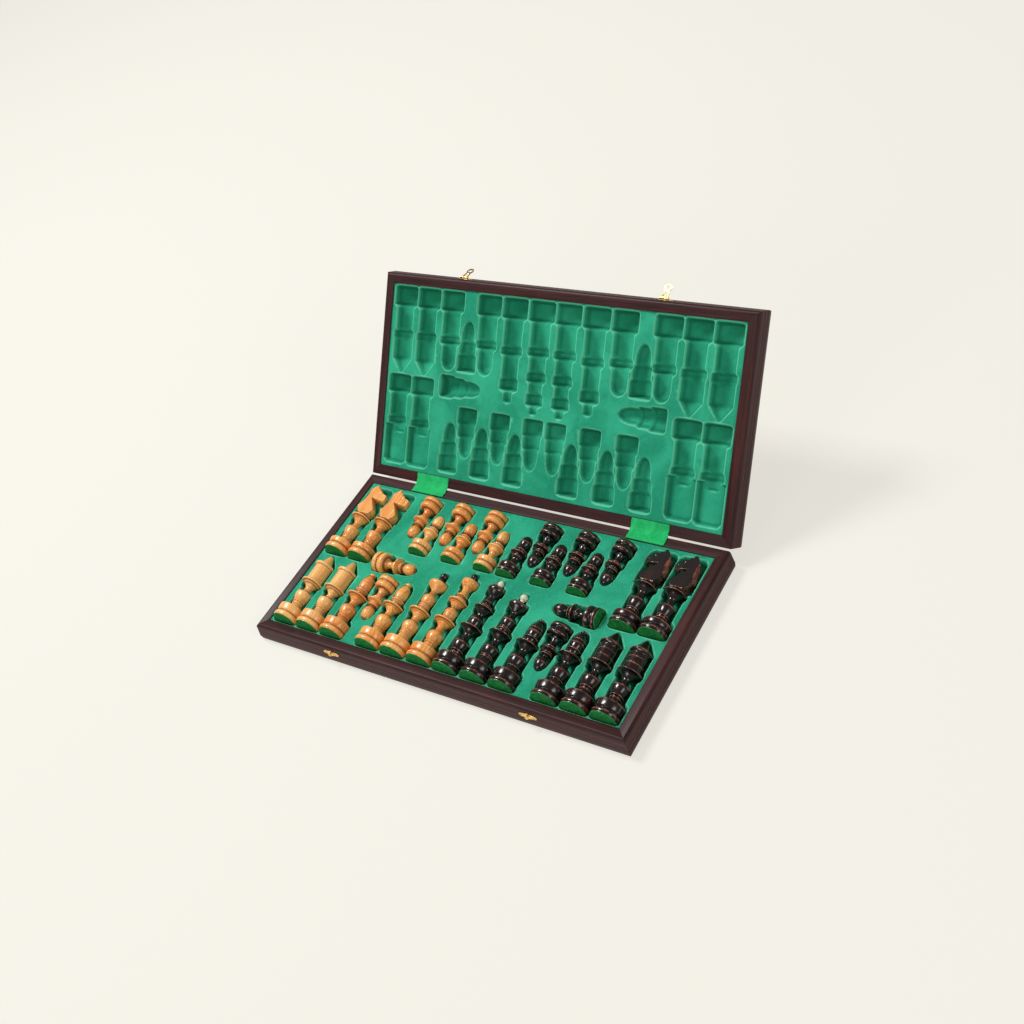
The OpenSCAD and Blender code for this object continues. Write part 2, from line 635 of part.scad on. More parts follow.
module hinge_base_leaves() color(brass)
  for (s = [-1, 1]) translate([s * hinge_place, 0, 0]) leaf(0);
module hinge_lid_leaves() color(brass)
  as_lid() for (s = [-1, 1]) translate([s * hinge_place, 0, 0]) leaf(1);
module hinge_pins() color(brass) for (s = [-1, 1])
  translate([s * hinge_place - hinge_length / 2, axis_y, axis_z]) rotate([0, 90, 0])
    cylinder(r = hinge_pin_r, h = hinge_length);
module hinge_base_screws() color(brass) leaf_screws();
module hinge_lid_screws() color(brass) as_lid() leaf_screws();
module felt_band_left() color(felt) translate([-hinge_place, 0, 0]) felt_band();
module felt_band_right() color(felt) translate([hinge_place, 0, 0]) felt_band();

module catch_plates() color(brass)
  for (s = [-1, 1]) on_side(s * latch_place, plate_z) catch_plate();
module catch_nails() color(brass)
  for (s = [-1, 1]) on_side(s * latch_place, plate_z) plate_nails(catch_length);
module hasp_plates() color(brass)
  as_lid() for (s = [-1, 1]) translate([s * latch_place, 0, 0]) hasp_plate();
module hasp_nails() color(brass)
  as_lid() for (s = [-1, 1]) on_side(s * latch_place, plate_z) plate_nails(hasp_plate_length);
module hasp_left() color(brass) hasp_at(-latch_place, hasp_left_angle);
module hasp_right() color(brass) hasp_at(latch_place, hasp_right_angle);

module king_at(s) foot_front(s * king_x, front_y) children();
module queen_at(s) foot_front(s * queen_x, front_y) children();
module bishop_at(s, i) foot_front(s * bishop_x[i], front_y) turned(bishop_form());
module rook_at(s, i) foot_front(s * rook_x[i], front_y) turned(rook_form());
module knight_at(s, i) knight_place(s, i) knight();
module pawn_at(s, i) pawn_place(s, i) turned(pawn_form());

module light_king() color(light_wood) king_at(-1) turned(king_form());
module light_king_finial() color(dark_wood) king_at(-1) turned(king_finial_form());
module light_queen() color(light_wood) queen_at(-1) turned(queen_form());
module light_queen_finial() color(dark_wood) queen_at(-1) turned(queen_finial_form());
module light_bishop_1() color(light_wood) bishop_at(-1, 0);
module light_bishop_2() color(light_wood) bishop_at(-1, 1);
module light_knight_1() color(light_wood) knight_at(-1, 0);
module light_knight_2() color(light_wood) knight_at(-1, 1);
module light_rook_1() color(light_wood) rook_at(-1, 0);
module light_rook_2() color(light_wood) rook_at(-1, 1);
module light_pawn_1() color(light_wood) pawn_at(-1, 0);
module light_pawn_2() color(light_wood) pawn_at(-1, 1);
module light_pawn_3() color(light_wood) pawn_at(-1, 2);
module light_pawn_4() color(light_wood) pawn_at(-1, 3);
module light_pawn_5() color(light_wood) pawn_at(-1, 4);
module light_pawn_6() color(light_wood) pawn_at(-1, 5);
module light_pawn_7() color(light_wood) pawn_at(-1, 6);
module light_pawn_8() color(light_wood) pawn_at(-1, 7);
module dark_king() color(dark_wood) king_at(1) turned(king_form());
module dark_king_finial() color(ivory) king_at(1) turned(king_finial_form());
module dark_queen() color(dark_wood) queen_at(1) turned(queen_form());
module dark_queen_finial() color(ivory) queen_at(1) turned(queen_finial_form());
module dark_bishop_1() color(dark_wood) bishop_at(1, 0);
module dark_bishop_2() color(dark_wood) bishop_at(1, 1);
module dark_knight_1() color(dark_wood) knight_at(1, 0);
module dark_knight_2() color(dark_wood) knight_at(1, 1);
module dark_rook_1() color(dark_wood) rook_at(1, 0);
module dark_rook_2() color(dark_wood) rook_at(1, 1);
module dark_pawn_1() color(dark_wood) pawn_at(1, 0);
module dark_pawn_2() color(dark_wood) pawn_at(1, 1);
module dark_pawn_3() color(dark_wood) pawn_at(1, 2);
module dark_pawn_4() color(dark_wood) pawn_at(1, 3);
module dark_pawn_5() color(dark_wood) pawn_at(1, 4);
module dark_pawn_6() color(dark_wood) pawn_at(1, 5);
module dark_pawn_7() color(dark_wood) pawn_at(1, 6);
module dark_pawn_8() color(dark_wood) pawn_at(1, 7);

base_frame();
base_board();
base_dark_squares();
base_light_squares();
base_tray();
lid_frame();
lid_board();
lid_dark_squares();
lid_light_squares();
lid_tray();
hinge_base_leaves();
hinge_lid_leaves();
hinge_pins();
hinge_base_screws();
hinge_lid_screws();
felt_band_left();
felt_band_right();
catch_plates();
catch_nails();
hasp_plates();
hasp_nails();
hasp_left();
hasp_right();
light_king();
light_king_finial();
light_queen();
light_queen_finial();
light_bishop_1();
light_bishop_2();
light_knight_1();
light_knight_2();
light_rook_1();
light_rook_2();
light_pawn_1();
light_pawn_2();
light_pawn_3();
light_pawn_4();
light_pawn_5();
light_pawn_6();
light_pawn_7();
light_pawn_8();
dark_king();
dark_king_finial();
dark_queen();
dark_queen_finial();
dark_bishop_1();
dark_bishop_2();
dark_knight_1();
dark_knight_2();
dark_rook_1();
dark_rook_2();
dark_pawn_1();
dark_pawn_2();
dark_pawn_3();
dark_pawn_4();
dark_pawn_5();
dark_pawn_6();
dark_pawn_7();
dark_pawn_8();
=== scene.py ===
# %% [markdown]
# # A folding chess box with its turned men
#
# The box stands open. Two shallow wooden halves hang together on hinges, each half is
# lined with a formed tray under green flock, and thirty-two turned men lie in the lower
# tray. The solids already fix every size and every joint. This lesson dresses them: it
# turns the men again with softer edges, forms the trays as one smooth skin, cuts the
# frames at their mitres, and gives every piece a finish made of nodes.
#
# All lengths are written in millimetres and scaled once, when a mesh is made.

import math

import bmesh
import bpy
import numpy as np
from mathutils import Matrix, Vector
from mathutils.geometry import delaunay_2d_cdt


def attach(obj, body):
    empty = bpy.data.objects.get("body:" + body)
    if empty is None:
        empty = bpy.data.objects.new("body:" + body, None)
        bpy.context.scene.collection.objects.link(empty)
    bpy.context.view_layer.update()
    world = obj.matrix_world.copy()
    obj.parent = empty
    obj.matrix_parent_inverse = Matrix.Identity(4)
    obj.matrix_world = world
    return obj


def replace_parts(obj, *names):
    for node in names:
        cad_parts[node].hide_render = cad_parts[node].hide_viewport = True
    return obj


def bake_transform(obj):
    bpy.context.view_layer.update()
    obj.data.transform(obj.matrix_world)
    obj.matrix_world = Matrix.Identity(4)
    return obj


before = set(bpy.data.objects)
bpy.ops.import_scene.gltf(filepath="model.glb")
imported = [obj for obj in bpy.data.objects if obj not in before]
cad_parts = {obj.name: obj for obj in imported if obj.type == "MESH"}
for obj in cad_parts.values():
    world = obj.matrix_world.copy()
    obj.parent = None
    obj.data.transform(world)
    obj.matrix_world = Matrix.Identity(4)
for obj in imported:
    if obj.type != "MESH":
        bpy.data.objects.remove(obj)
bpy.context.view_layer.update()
MM = 0.001

# %% [markdown]
# ## The sizes that the pieces share
#
# One half is drawn rim up, with the origin under its middle, X along the hinge and Y from
# the latch edge to the hinge edge. The lid is the same half, mirrored about the hinge's
# axis and swung open, so one function carries any point of a half over to the lid.

# %% Sizes of the box
LENGTH, WIDTH, RIM = 580.0, 290.0, 28.0
RAIL = 14.5
TRAY_TOP = 26.4
LIE = RIM - 2
TRAY_GAP = 0.15
HINGE_X, HINGE_HALF = 176.0, 22.0
AXIS_Y, AXIS_Z = WIDTH / 2 + 1.2, RIM + 0.2
OPEN = 131.5
TILT = math.radians(180 - OPEN)
TILT_COS, TILT_SIN = math.cos(TILT), math.sin(TILT)


def to_lid(points):
    """Carries points of a half over to the open lid."""
    y, z = AXIS_Y - points[:, 1], points[:, 2] - AXIS_Z
    return np.stack([points[:, 0], AXIS_Y + y * TILT_COS - z * TILT_SIN,
                     AXIS_Z + y * TILT_SIN + z * TILT_COS], 1)


def from_lid(points):
    """The way back, from the open lid to a half that lies rim up."""
    y, z = points[:, 1] - AXIS_Y, points[:, 2] - AXIS_Z
    return np.stack([points[:, 0], AXIS_Y - y * TILT_COS - z * TILT_SIN,
                     AXIS_Z - y * TILT_SIN + z * TILT_COS], 1)


# %% [markdown]
# ## Making a mesh and hanging it on its body
#
# Every rigid piece goes through one function. It takes points in millimetres, marks that
# the materials read (such as where the grain runs), and the names of the solids that the
# piece stands for. The marks are stored on the points, so a finish stays with its piece when
# the lid swings or a man is lifted out.


# %% Making a piece
def placed(name, data):
    """A new object in the scene."""
    made = bpy.data.objects.new(name, data)
    bpy.context.scene.collection.objects.link(made)
    return made


def marked_mesh(name, points, faces, marks):
    """A mesh from millimetres, with marks on its points."""
    mesh = bpy.data.meshes.new(name)
    mesh.from_pydata((np.asarray(points) * MM).tolist(), [], faces)
    for key, values in marks.items():
        values = np.asarray(values, np.float32)
        vector = values.ndim == 2
        mark = mesh.attributes.new(key, "FLOAT_VECTOR" if vector else "FLOAT", "POINT")
        mark.data.foreach_set("vector" if vector else "value", values.ravel())
    return mesh


def shaded(name, points, faces, finishes, which=None, marks=None, sharp=None):
    """A smooth-shaded object; sharp is the angle past which an edge stays crisp."""
    mesh = marked_mesh(name, points, faces, marks or {})
    for finish in finishes:
        mesh.materials.append(finish)
    if which is not None:
        mesh.polygons.foreach_set("material_index", np.asarray(which, np.int32))
    mesh.shade_smooth()
    if sharp:
        mesh.set_sharp_from_angle(angle=math.radians(sharp))
    mesh.update()
    return placed(name, mesh)


def piece(name, points, faces, body, slot, nodes, *looks, **more):
    """An object that rides on a body and stands for some of the solids.

    What belongs to the lid is given as a half that lies rim up, and is carried over here.
    """
    if body == "lid":
        points, faces = to_lid(points), [tuple(reversed(f)) for f in faces]
    made = shaded(name, points, faces, *looks, **more)
    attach(made, body)
    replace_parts(made, *nodes)
    return made


# %% [markdown]
# ## Building finishes out of nodes
#
# A finish is a small tree of nodes behind one Principled shader. Writing a tree node by
# node is wordy, so a few helpers do the linking. Numbers that are the same all over a
# surface go straight on the shader's own sockets.


# %% Helpers for finishes
def rgb(r, g, b):
    """A colour as a screen shows it, 0 to 255, turned into light."""
    return tuple((c / 255 / 12.92) if c <= 10 else ((c / 255 + 0.055) / 1.055) ** 2.4
                 for c in (r, g, b)) + (1.0,)


class Nodes:
    """A tree of nodes that is built one call at a time."""

    def add(self, kind, inputs=(), **settings):
        made = self.tree.nodes.new(kind)
        for key, value in settings.items():
            setattr(made, key, value)
        for key, value in dict(inputs).items():
            self.feed(made.inputs[key], value)
        return made

    def feed(self, socket, value):
        if isinstance(value, bpy.types.NodeSocket):
            self.tree.links.new(value, socket)
        else:
            socket.default_value = value

    def math(self, how, a, b=0.0, c=0.0):
        return self.add("ShaderNodeMath", {0: a, 1: b, 2: c}, operation=how).outputs[0]


class Finish(Nodes):
    """A material with one Principled shader and the nodes that feed it."""

    def __init__(self, name, **sockets):
        self.material = bpy.data.materials.new(name)
        self.material.use_nodes = True
        self.tree = self.material.node_tree
        self.tree.nodes.clear()
        self.out = self.tree.nodes.new("ShaderNodeOutputMaterial")
        self.shader = self.tree.nodes.new("ShaderNodeBsdfPrincipled")
        self.tree.links.new(self.shader.outputs[0], self.out.inputs[0])
        self.set(**sockets)

    def mark(self, name):
        """What the points of the mesh say: a place under grain, a number under other names."""
        return self.add("ShaderNodeAttribute", attribute_name=name).outputs[
            "Vector" if name == "grain" else "Fac"]

    def stretch(self, vector, scale):
        return self.add("ShaderNodeMapping", {"Vector": vector, "Scale": scale}).outputs[0]

    def noise(self, vector, scale, detail=3.0, rough=0.55, bend=0.0):
        return self.add("ShaderNodeTexNoise", {"Vector": vector, "Scale": scale,
                        "Detail": detail, "Roughness": rough, "Distortion": bend}).outputs[0]

    def range(self, value, low, high, to_low=0.0, to_high=1.0):
        return self.add("ShaderNodeMapRange", {0: value, 1: low, 2: high, 3: to_low,
                        4: to_high}, interpolation_type="SMOOTHSTEP").outputs[0]

    def mix(self, share, a, b):
        return self.add("ShaderNodeMix", {0: share, 6: a, 7: b}, data_type="RGBA").outputs[2]

    def layered(self, colour, *coats):
        """A colour under coats, each given as how much of it shows and its own colour."""
        for share, coat in coats:
            colour = self.mix(share, colour, coat)
        return colour

    def bump(self, height, strength, distance):
        return self.add("ShaderNodeBump", {"Height": height, "Strength": strength,
                        "Distance": distance}).outputs[0]

    def set(self, **sockets):
        for key, value in sockets.items():
            self.feed(self.shader.inputs[key.replace("_", " ")], value)
        return self.material


# %% [markdown]
# ## Wood
#
# Wood reads as wood through three layers: broad bands of growth that wander, fine fibres
# drawn out along the grain, and short dark pores. The points carry a mark called grain,
# with its first axis along the board or the turning. On a turned man the bands are cut by
# rings and balls, which is what draws the curved figure on a real one.


# %% Wood layers
def growth(f, grain, spacing, wander):
    """Bands of growth, 0 to 1, spacing metres apart, bent by wander metres."""
    parts = f.add("ShaderNodeSeparateXYZ", {0: grain})
    drift = f.noise(f.stretch(grain, (7, 26, 26)), 1.0, 2.0, 0.5)
    across = f.math("MULTIPLY_ADD", drift, wander, parts.outputs[1])
    across = f.math("MULTIPLY_ADD", parts.outputs[2], 0.35, across)
    wave = f.math("SINE", f.math("MULTIPLY", across, 2 * math.pi / spacing))
    return f.math("MULTIPLY_ADD", wave, 0.5, 0.5)


def fibres(f, grain, along, across):
    """Fine streaks, long along the grain and narrow across it."""
    return f.noise(f.stretch(grain, (along, across, across)), 1.0, 4.0, 0.65)


def patches(f, grain, along, across):
    """Soft patches that are drawn out along the grain."""
    return f.noise(f.stretch(grain, (along, across, across)), 1.0, 3.0, 0.6)


# %% [markdown]
# The frame is a pale hardwood under a dark red-brown stain and a satin lacquer. The stain
# sinks unevenly into the fibres, and it is thin in the two fine lines along the sides, so
# these show a warm red. The lacquer gives the rounded rim its broad soft highlight.


# %% The stained frame
def stained(name, dark, mid, warm):
    f = Finish(name, Coat_Weight=0.06, Coat_Roughness=0.3, Specular_IOR_Level=0.22)
    grain, line = f.mark("grain"), f.mark("wear")
    bands = growth(f, grain, 0.011, 0.02)
    fine = fibres(f, grain, 16, 900)
    streaks = fibres(f, grain, 5, 130)
    pores = f.range(fibres(f, grain, 55, 2300), 0.60, 0.70)
    colour = f.layered(
        f.mix(f.range(fine, 0.36, 0.66), dark, mid),
        (f.range(streaks, 0.5, 0.72, 0.0, 0.55), warm),
        (f.math("MULTIPLY", bands, 0.25), dark),
        (f.math("MULTIPLY", pores, 0.45), rgb(26, 12, 12)),
        (f.math("MULTIPLY", line, f.range(streaks, 0.3, 0.6, 0.35, 0.95)), rgb(168, 92, 82)))
    relief = f.math("MULTIPLY_ADD", pores, -0.6, fine)
    return f.set(Base_Color=colour, Normal=f.bump(relief, 0.22, 0.0002),
                 Roughness=f.range(fine, 0.3, 0.7, 0.45, 0.6))


frame_wood = stained("stained_frame_wood", rgb(38, 16, 16), rgb(70, 31, 30), rgb(102, 45, 38))
board_wood = stained("stained_board_wood", rgb(60, 26, 20), rgb(100, 50, 38), rgb(122, 62, 46))


# %% [markdown]
# The squares are veneer: pale birch and a darker walnut tone. Each carries its own mark
# called tone, so that no two squares are quite alike, as when they are cut from
# different parts of a sheet.


# %% The two veneers
def veneer(name, dark, mid, light):
    f = Finish(name, Roughness=0.3, Coat_Weight=0.5, Coat_Roughness=0.12)
    grain, tone = f.mark("grain"), f.mark("tone")
    bands = growth(f, grain, 0.006, 0.03)
    fine = fibres(f, grain, 14, 700)
    colour = f.layered(f.mix(f.range(fine, 0.3, 0.7), mid, light),
                       (f.math("MULTIPLY", bands, 0.5), dark),
                       (f.range(tone, -1.0, 1.0, 0.0, 0.35), dark))
    return f.set(Base_Color=colour, Normal=f.bump(fine, 0.12, 0.0001))


light_veneer = veneer("light_veneer", rgb(186, 138, 84), rgb(212, 170, 116), rgb(228, 192, 140))
dark_veneer = veneer("dark_veneer", rgb(74, 38, 24), rgb(104, 58, 38), rgb(128, 76, 50))

# %% [markdown]
# The light men are a honey-coloured hardwood under clear lacquer. The grain runs along
# each man, paler between darker bands. The edge mark is above zero on outer edges and
# below zero in hollows; this finish paints a highlight on the edges and shade in the hollows.


# %% The light men's wood
def light_turning():
    f = Finish("light_men_wood", Coat_Weight=0.5, Coat_Roughness=0.16, Specular_IOR_Level=0.4)
    grain, tone, wear = f.mark("grain"), f.mark("tone"), f.mark("wear")
    bands = growth(f, grain, 0.0036, 0.014)
    soft = patches(f, grain, 9, 70)
    fine = fibres(f, grain, 30, 1100)
    latewood = f.math("MULTIPLY", f.range(bands, 0.62, 0.98), f.range(soft, 0.25, 0.6, 0.15, 0.55))
    colour = f.layered(
        f.mix(f.range(soft, 0.3, 0.7), rgb(240, 142, 54), rgb(255, 190, 102)),
        (latewood, rgb(196, 102, 38)),
        (f.range(fine, 0.45, 0.7, 0.0, 0.4), rgb(172, 88, 34)),
        (f.range(tone, 0.0, 1.0, 0.0, 0.4), rgb(250, 206, 134)),
        (f.range(tone, 0.0, -1.0, 0.0, 0.42), rgb(222, 118, 50)),
        # Painted shade in the hollows, where the edge mark is below zero.
        (f.range(wear, 0.0, -1.0, 0.0, 0.85), rgb(126, 56, 20)),
        # Painted highlight on outer edges, ring crests and the knight's facet.
        (f.range(wear, 0.1, 1.0, 0.0, 0.45), rgb(255, 218, 154)))
    return f.set(Base_Color=colour, Roughness=f.range(fine, 0.3, 0.7, 0.32, 0.46),
                 Normal=f.bump(f.math("MULTIPLY_ADD", bands, 0.3, fine), 0.12, 0.00012))


# %% [markdown]
# The dark men are stained almost black and polished. Every ring is rubbed back to
# red-brown wood, which is the most telling thing about them, so the edge mark draws a soft
# band of it with a brighter broken line along the crest. Flat places keep a faint red glow.
# The same red-brown is painted on the knight's facet as a highlight, and the hollows get
# painted shade.


# %% The dark men's wood
def dark_turning():
    f = Finish("dark_men_wood", Coat_Weight=0.6, Coat_Roughness=0.26, Specular_IOR_Level=0.4)
    grain, tone, wear = f.mark("grain"), f.mark("tone"), f.mark("wear")
    soft = patches(f, grain, 12, 60)
    fine = fibres(f, grain, 26, 900)
    glow = f.math("MULTIPLY", f.range(soft, 0.52, 0.8), f.range(tone, -0.6, 1.0, 0.15, 0.9))
    broken = patches(f, grain, 120, 170)
    edge = f.math("ADD", wear, f.range(broken, 0.3, 0.7, -0.35, 0.1))
    rubbed_and_highlit = f.range(edge, 0.1, 0.9)
    # Bare wood on worn rings; on the knight's facet this colour is a painted highlight.
    bare_wood_and_highlight = f.mix(f.range(fine, 0.3, 0.7), rgb(134, 64, 50), rgb(196, 120, 96))
    colour = f.layered(
        f.mix(f.range(fine, 0.38, 0.7), rgb(14, 6, 7), rgb(36, 15, 15)),
        (glow, rgb(88, 36, 29)), (rubbed_and_highlit, bare_wood_and_highlight),
        # Painted shade in the hollows.
        (f.range(wear, 0.0, -0.8, 0.0, 0.8), rgb(10, 4, 5)))
    return f.set(Base_Color=colour, Roughness=f.range(rubbed_and_highlit, 0.0, 1.0, 0.2, 0.45),
                 Normal=f.bump(f.math("MULTIPLY_ADD", rubbed_and_highlit, -0.25, fine), 0.1, 0.00012))


light_wood = light_turning()
dark_wood = dark_turning()

# %% [markdown]
# The tips of the dark king and queen are a pale bone-like wood. It is nearly plain, with a
# slight yellowing in patches and fine lines along the turning.


# %% Pale tips
def pale_tips():
    f = Finish("pale_tips", Coat_Weight=0.5, Coat_Roughness=0.1)
    grain = f.mark("grain")
    soft = patches(f, grain, 60, 160)
    fine = fibres(f, grain, 60, 1500)
    colour = f.layered(f.mix(f.range(soft, 0.3, 0.7), rgb(226, 214, 176), rgb(246, 240, 216)),
                       (f.range(fine, 0.5, 0.75, 0.0, 0.3), rgb(198, 176, 128)))
    return f.set(Base_Color=colour, Roughness=f.range(fine, 0.3, 0.7, 0.28, 0.4),
                 Normal=f.bump(fine, 0.08, 0.0001))


tip_wood = pale_tips()

# %% [markdown]
# ## Flock and felt
#
# Flock is a coat of tiny upright fibres blown on glue over a formed plastic skin. It has
# no weave: a fine speckle, patches where the nap leans another way, and a sheen that
# lifts the edges. Felt is thicker and hairier, with clumps and a rougher speckle.


# %% Flock and felt
def napped(name, deep, mid, lit, speck, clump, sheen, relief, lip=None):
    f = Finish(name, Roughness=0.95, Specular_IOR_Level=0.15, Sheen_Weight=sheen,
               Sheen_Roughness=0.45, Sheen_Tint=lit)
    place = f.add("ShaderNodeTexCoord").outputs["Object"]
    fine = f.noise(place, speck, 2.0, 0.7)
    patch = f.noise(place, clump, 3.0, 0.6, 0.6)
    hair = f.noise(f.stretch(place, (1.0, 0.35, 1.0)), speck * 0.6, 3.0, 0.75, 1.2)
    colour = f.layered(f.mix(f.range(fine, 0.3, 0.7), deep, mid),
                       (f.range(patch, 0.35, 0.75, 0.0, 0.5), lit))
    # Where the skin bends: a painted highlight in the lip colour on outer lips, and painted shade
    # in the deep colour in inner bends.
    if lip is not None:
        bend = f.mark("lip")
        colour = f.layered(colour, (f.range(bend, 0.3, 0.9, 0.0, 0.5), lip),
                           (f.range(bend, -0.05, -0.7, 0.0, 0.7), deep))
    height = f.math("ADD", fine, f.math("MULTIPLY", hair, 0.8))
    return f.set(Base_Color=colour, Normal=f.bump(height, relief, 0.0004))


# The last colour is the painted highlight on the tray's lips.
flock = napped("green_flock", rgb(20, 106, 82), rgb(42, 170, 130), rgb(64, 196, 156),
               1500, 14, 0.35, 0.25, lip=rgb(120, 222, 182))
felt = napped("bright_green_felt", rgb(22, 150, 80), rgb(40, 190, 108), rgb(60, 210, 130),
              900, 60, 0.5, 0.8)
foot_felt = napped("dark_green_felt", rgb(6, 74, 32), rgb(26, 132, 60), rgb(70, 176, 96),
                   1000, 330, 0.4, 0.8)

# %% [markdown]
# ## Brass
#
# The latches and hinges are thin stamped brass, bright but handled: the polish is broken
# by fine scratches and by warmer, duller patches.


# %% Brass
def polished_brass():
    f = Finish("polished_brass", Metallic=1.0)
    place = f.add("ShaderNodeTexCoord").outputs["Object"]
    patch = f.noise(place, 180, 3.0, 0.6)
    scratch = f.noise(f.stretch(place, (1.0, 9.0, 9.0)), 900, 2.0, 0.7)
    colour = f.mix(f.range(patch, 0.35, 0.75), rgb(240, 204, 132), rgb(206, 158, 84))
    return f.set(Base_Color=colour, Roughness=f.range(patch, 0.3, 0.75, 0.16, 0.36),
                 Normal=f.bump(scratch, 0.08, 0.00008))


brass = polished_brass()

# %% [markdown]
# ## Frames in four mitred rails
#
# The solid frame is one block. A real one is glued up from four moulded rails, and the
# grain turns the corner at each mitre. So the solid is copied, its flat faces are merged,
# and two slanting cuts take out each rail in turn. Each cut is filled, which keeps every
# rail a closed body, and the long edges get a small round that catches the light.

# %% Copying a solid into the half's own place
MITRE_GAP = 0.05


def solid_copy(node, lid):
    """The solid's mesh, merged and rim up, in millimetres."""
    bm = bmesh.new()
    bm.from_mesh(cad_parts[node].data)
    points = np.array([v.co for v in bm.verts], float) / MM
    if lid:
        points = from_lid(points)
    for v, p in zip(bm.verts, points):
        v.co = p
    bmesh.ops.remove_doubles(bm, verts=bm.verts, dist=0.004)
    bmesh.ops.recalc_face_normals(bm, faces=bm.faces)
    bmesh.ops.dissolve_limit(bm, angle_limit=math.radians(0.6), verts=bm.verts, edges=bm.edges)
    return bm


def keep_side(bm, co, no):
    """Cuts the body with a plane, keeps what lies behind it and closes the cut."""
    bmesh.ops.bisect_plane(bm, geom=bm.verts[:] + bm.edges[:] + bm.faces[:], dist=1e-4,
                           plane_co=co, plane_no=no, clear_outer=True)
    rim = [e for e in bm.edges if e.is_boundary]
    if rim:
        bmesh.ops.holes_fill(bm, edges=rim, sides=0)


def soften_edges(bm, width, shortest, steep=30, skip=None):
    """Rounds the long crisp edges."""
    chosen = [e for e in bm.edges if len(e.link_faces) == 2 and e.calc_length() > shortest
              and e.calc_face_angle(0.0) > math.radians(steep) and not (skip and skip(e))]
    bmesh.ops.bevel(bm, geom=chosen, offset=width, offset_type="OFFSET", segments=2,
                    profile=0.5, affect="EDGES", clamp_overlap=True)


def arrays(bm):
    """The points and faces of a mesh that is done with."""
    bm.verts.index_update()
    points = np.array([v.co for v in bm.verts], float).reshape(-1, 3)
    faces = [tuple(v.index for v in f.verts) for f in bm.faces]
    bm.free()
    return points, faces


def joined(parts):
    """Several (points, faces, marks) as one."""
    points, faces, marks, start = [], [], {}, 0
    for p, f, m in parts:
        points.append(p)
        faces += [tuple(i + start for i in face) for face in f]
        for key, values in m.items():
            marks.setdefault(key, []).append(values)
        start += len(p)
    return np.concatenate(points), faces, {k: np.concatenate(v) for k, v in marks.items()}


# %% Cutting the frames into rails
HINGE_DEEP = 13.0
SIDE_LINES = (RIM * 0.43, RIM * 0.62)


def rail_of(node, lid, end, sign):
    """One rail; end rails lie across, at the side given by sign. Hinge pockets stay crisp."""
    bm = solid_copy(node, lid)
    hl, hw = LENGTH / 2, WIDTH / 2
    for turn in (-1, 1):
        if end:
            corner, out = (sign * hl, turn * hw, 0), (-sign, turn, 0)
        else:
            corner, out = (turn * hl, sign * hw, 0), (turn, -sign, 0)
        out = Vector(out).normalized()
        keep_side(bm, Vector(corner) - out * MITRE_GAP, out)
    axis = 0 if end else 1
    bmesh.ops.delete(bm, geom=[v for v in bm.verts if v.co[axis] * sign < 0], context="VERTS")
    soften_edges(bm, width=0.3, shortest=12, skip=lambda e: all(
        v.co.y > hw - HINGE_DEEP and abs(abs(v.co.x) - HINGE_X) < HINGE_HALF for v in e.verts))
    points, faces = arrays(bm)
    along = points[:, [1, 0, 2]] if end else points
    line = np.zeros(len(points))
    for z in SIDE_LINES:
        line[np.abs(points[:, 2] - z) < 0.2] = 1.0
    inside = (np.abs(points[:, 0]) < hl - 1) & (np.abs(points[:, 1]) < hw - 1)
    line[inside] = 0
    shift = np.array([0.31 * sign, 0.17 + 0.09 * sign, 0.05 * axis])
    return points, faces, {"grain": along * MM + shift, "wear": line}


for body, lid in (("base", False), ("lid", True)):
    node = body + "_frame"
    rails = [rail_of(node, lid, end, sign) for end in (False, True) for sign in (-1, 1)]
    points, faces, marks = joined(rails)
    piece(body + "_rails", points, faces, body, "frame_wood", [node], [frame_wood],
          marks=marks, sharp=28)
    print(node, "cut into", len(rails), "rails,", len(faces), "faces")


# %% [markdown]
# ## Boards and squares
#
# Behind each tray lies a plain board, let in flush. It is copied from its solid with its
# edges eased. The chessboard on its outer face is a pattern that repeats, which is work
# for Geometry Nodes: a grid of points, every second one dropped, and a thin plate with a
# small chamfer set on each point that is left.


# %% Boards
def eased(name, node, body, slot, finish, width, shortest, steep=30, sharp=30, spin=0.0):
    """A solid copied with its long edges rounded."""
    bm = solid_copy(node, body == "lid")
    soften_edges(bm, width, shortest, steep)
    points, faces = arrays(bm)
    marks = {"grain": points * MM + (spin, spin * 0.7, 0), "wear": np.zeros(len(points))}
    piece(name, points, faces, body, slot, [node], [finish], marks=marks, sharp=sharp)


for body, spin in (("base", 0.6), ("lid", 1.1)):
    eased(body + "_panel", body + "_board", body, "board_wood", board_wood, 0.25, 6, spin=spin)


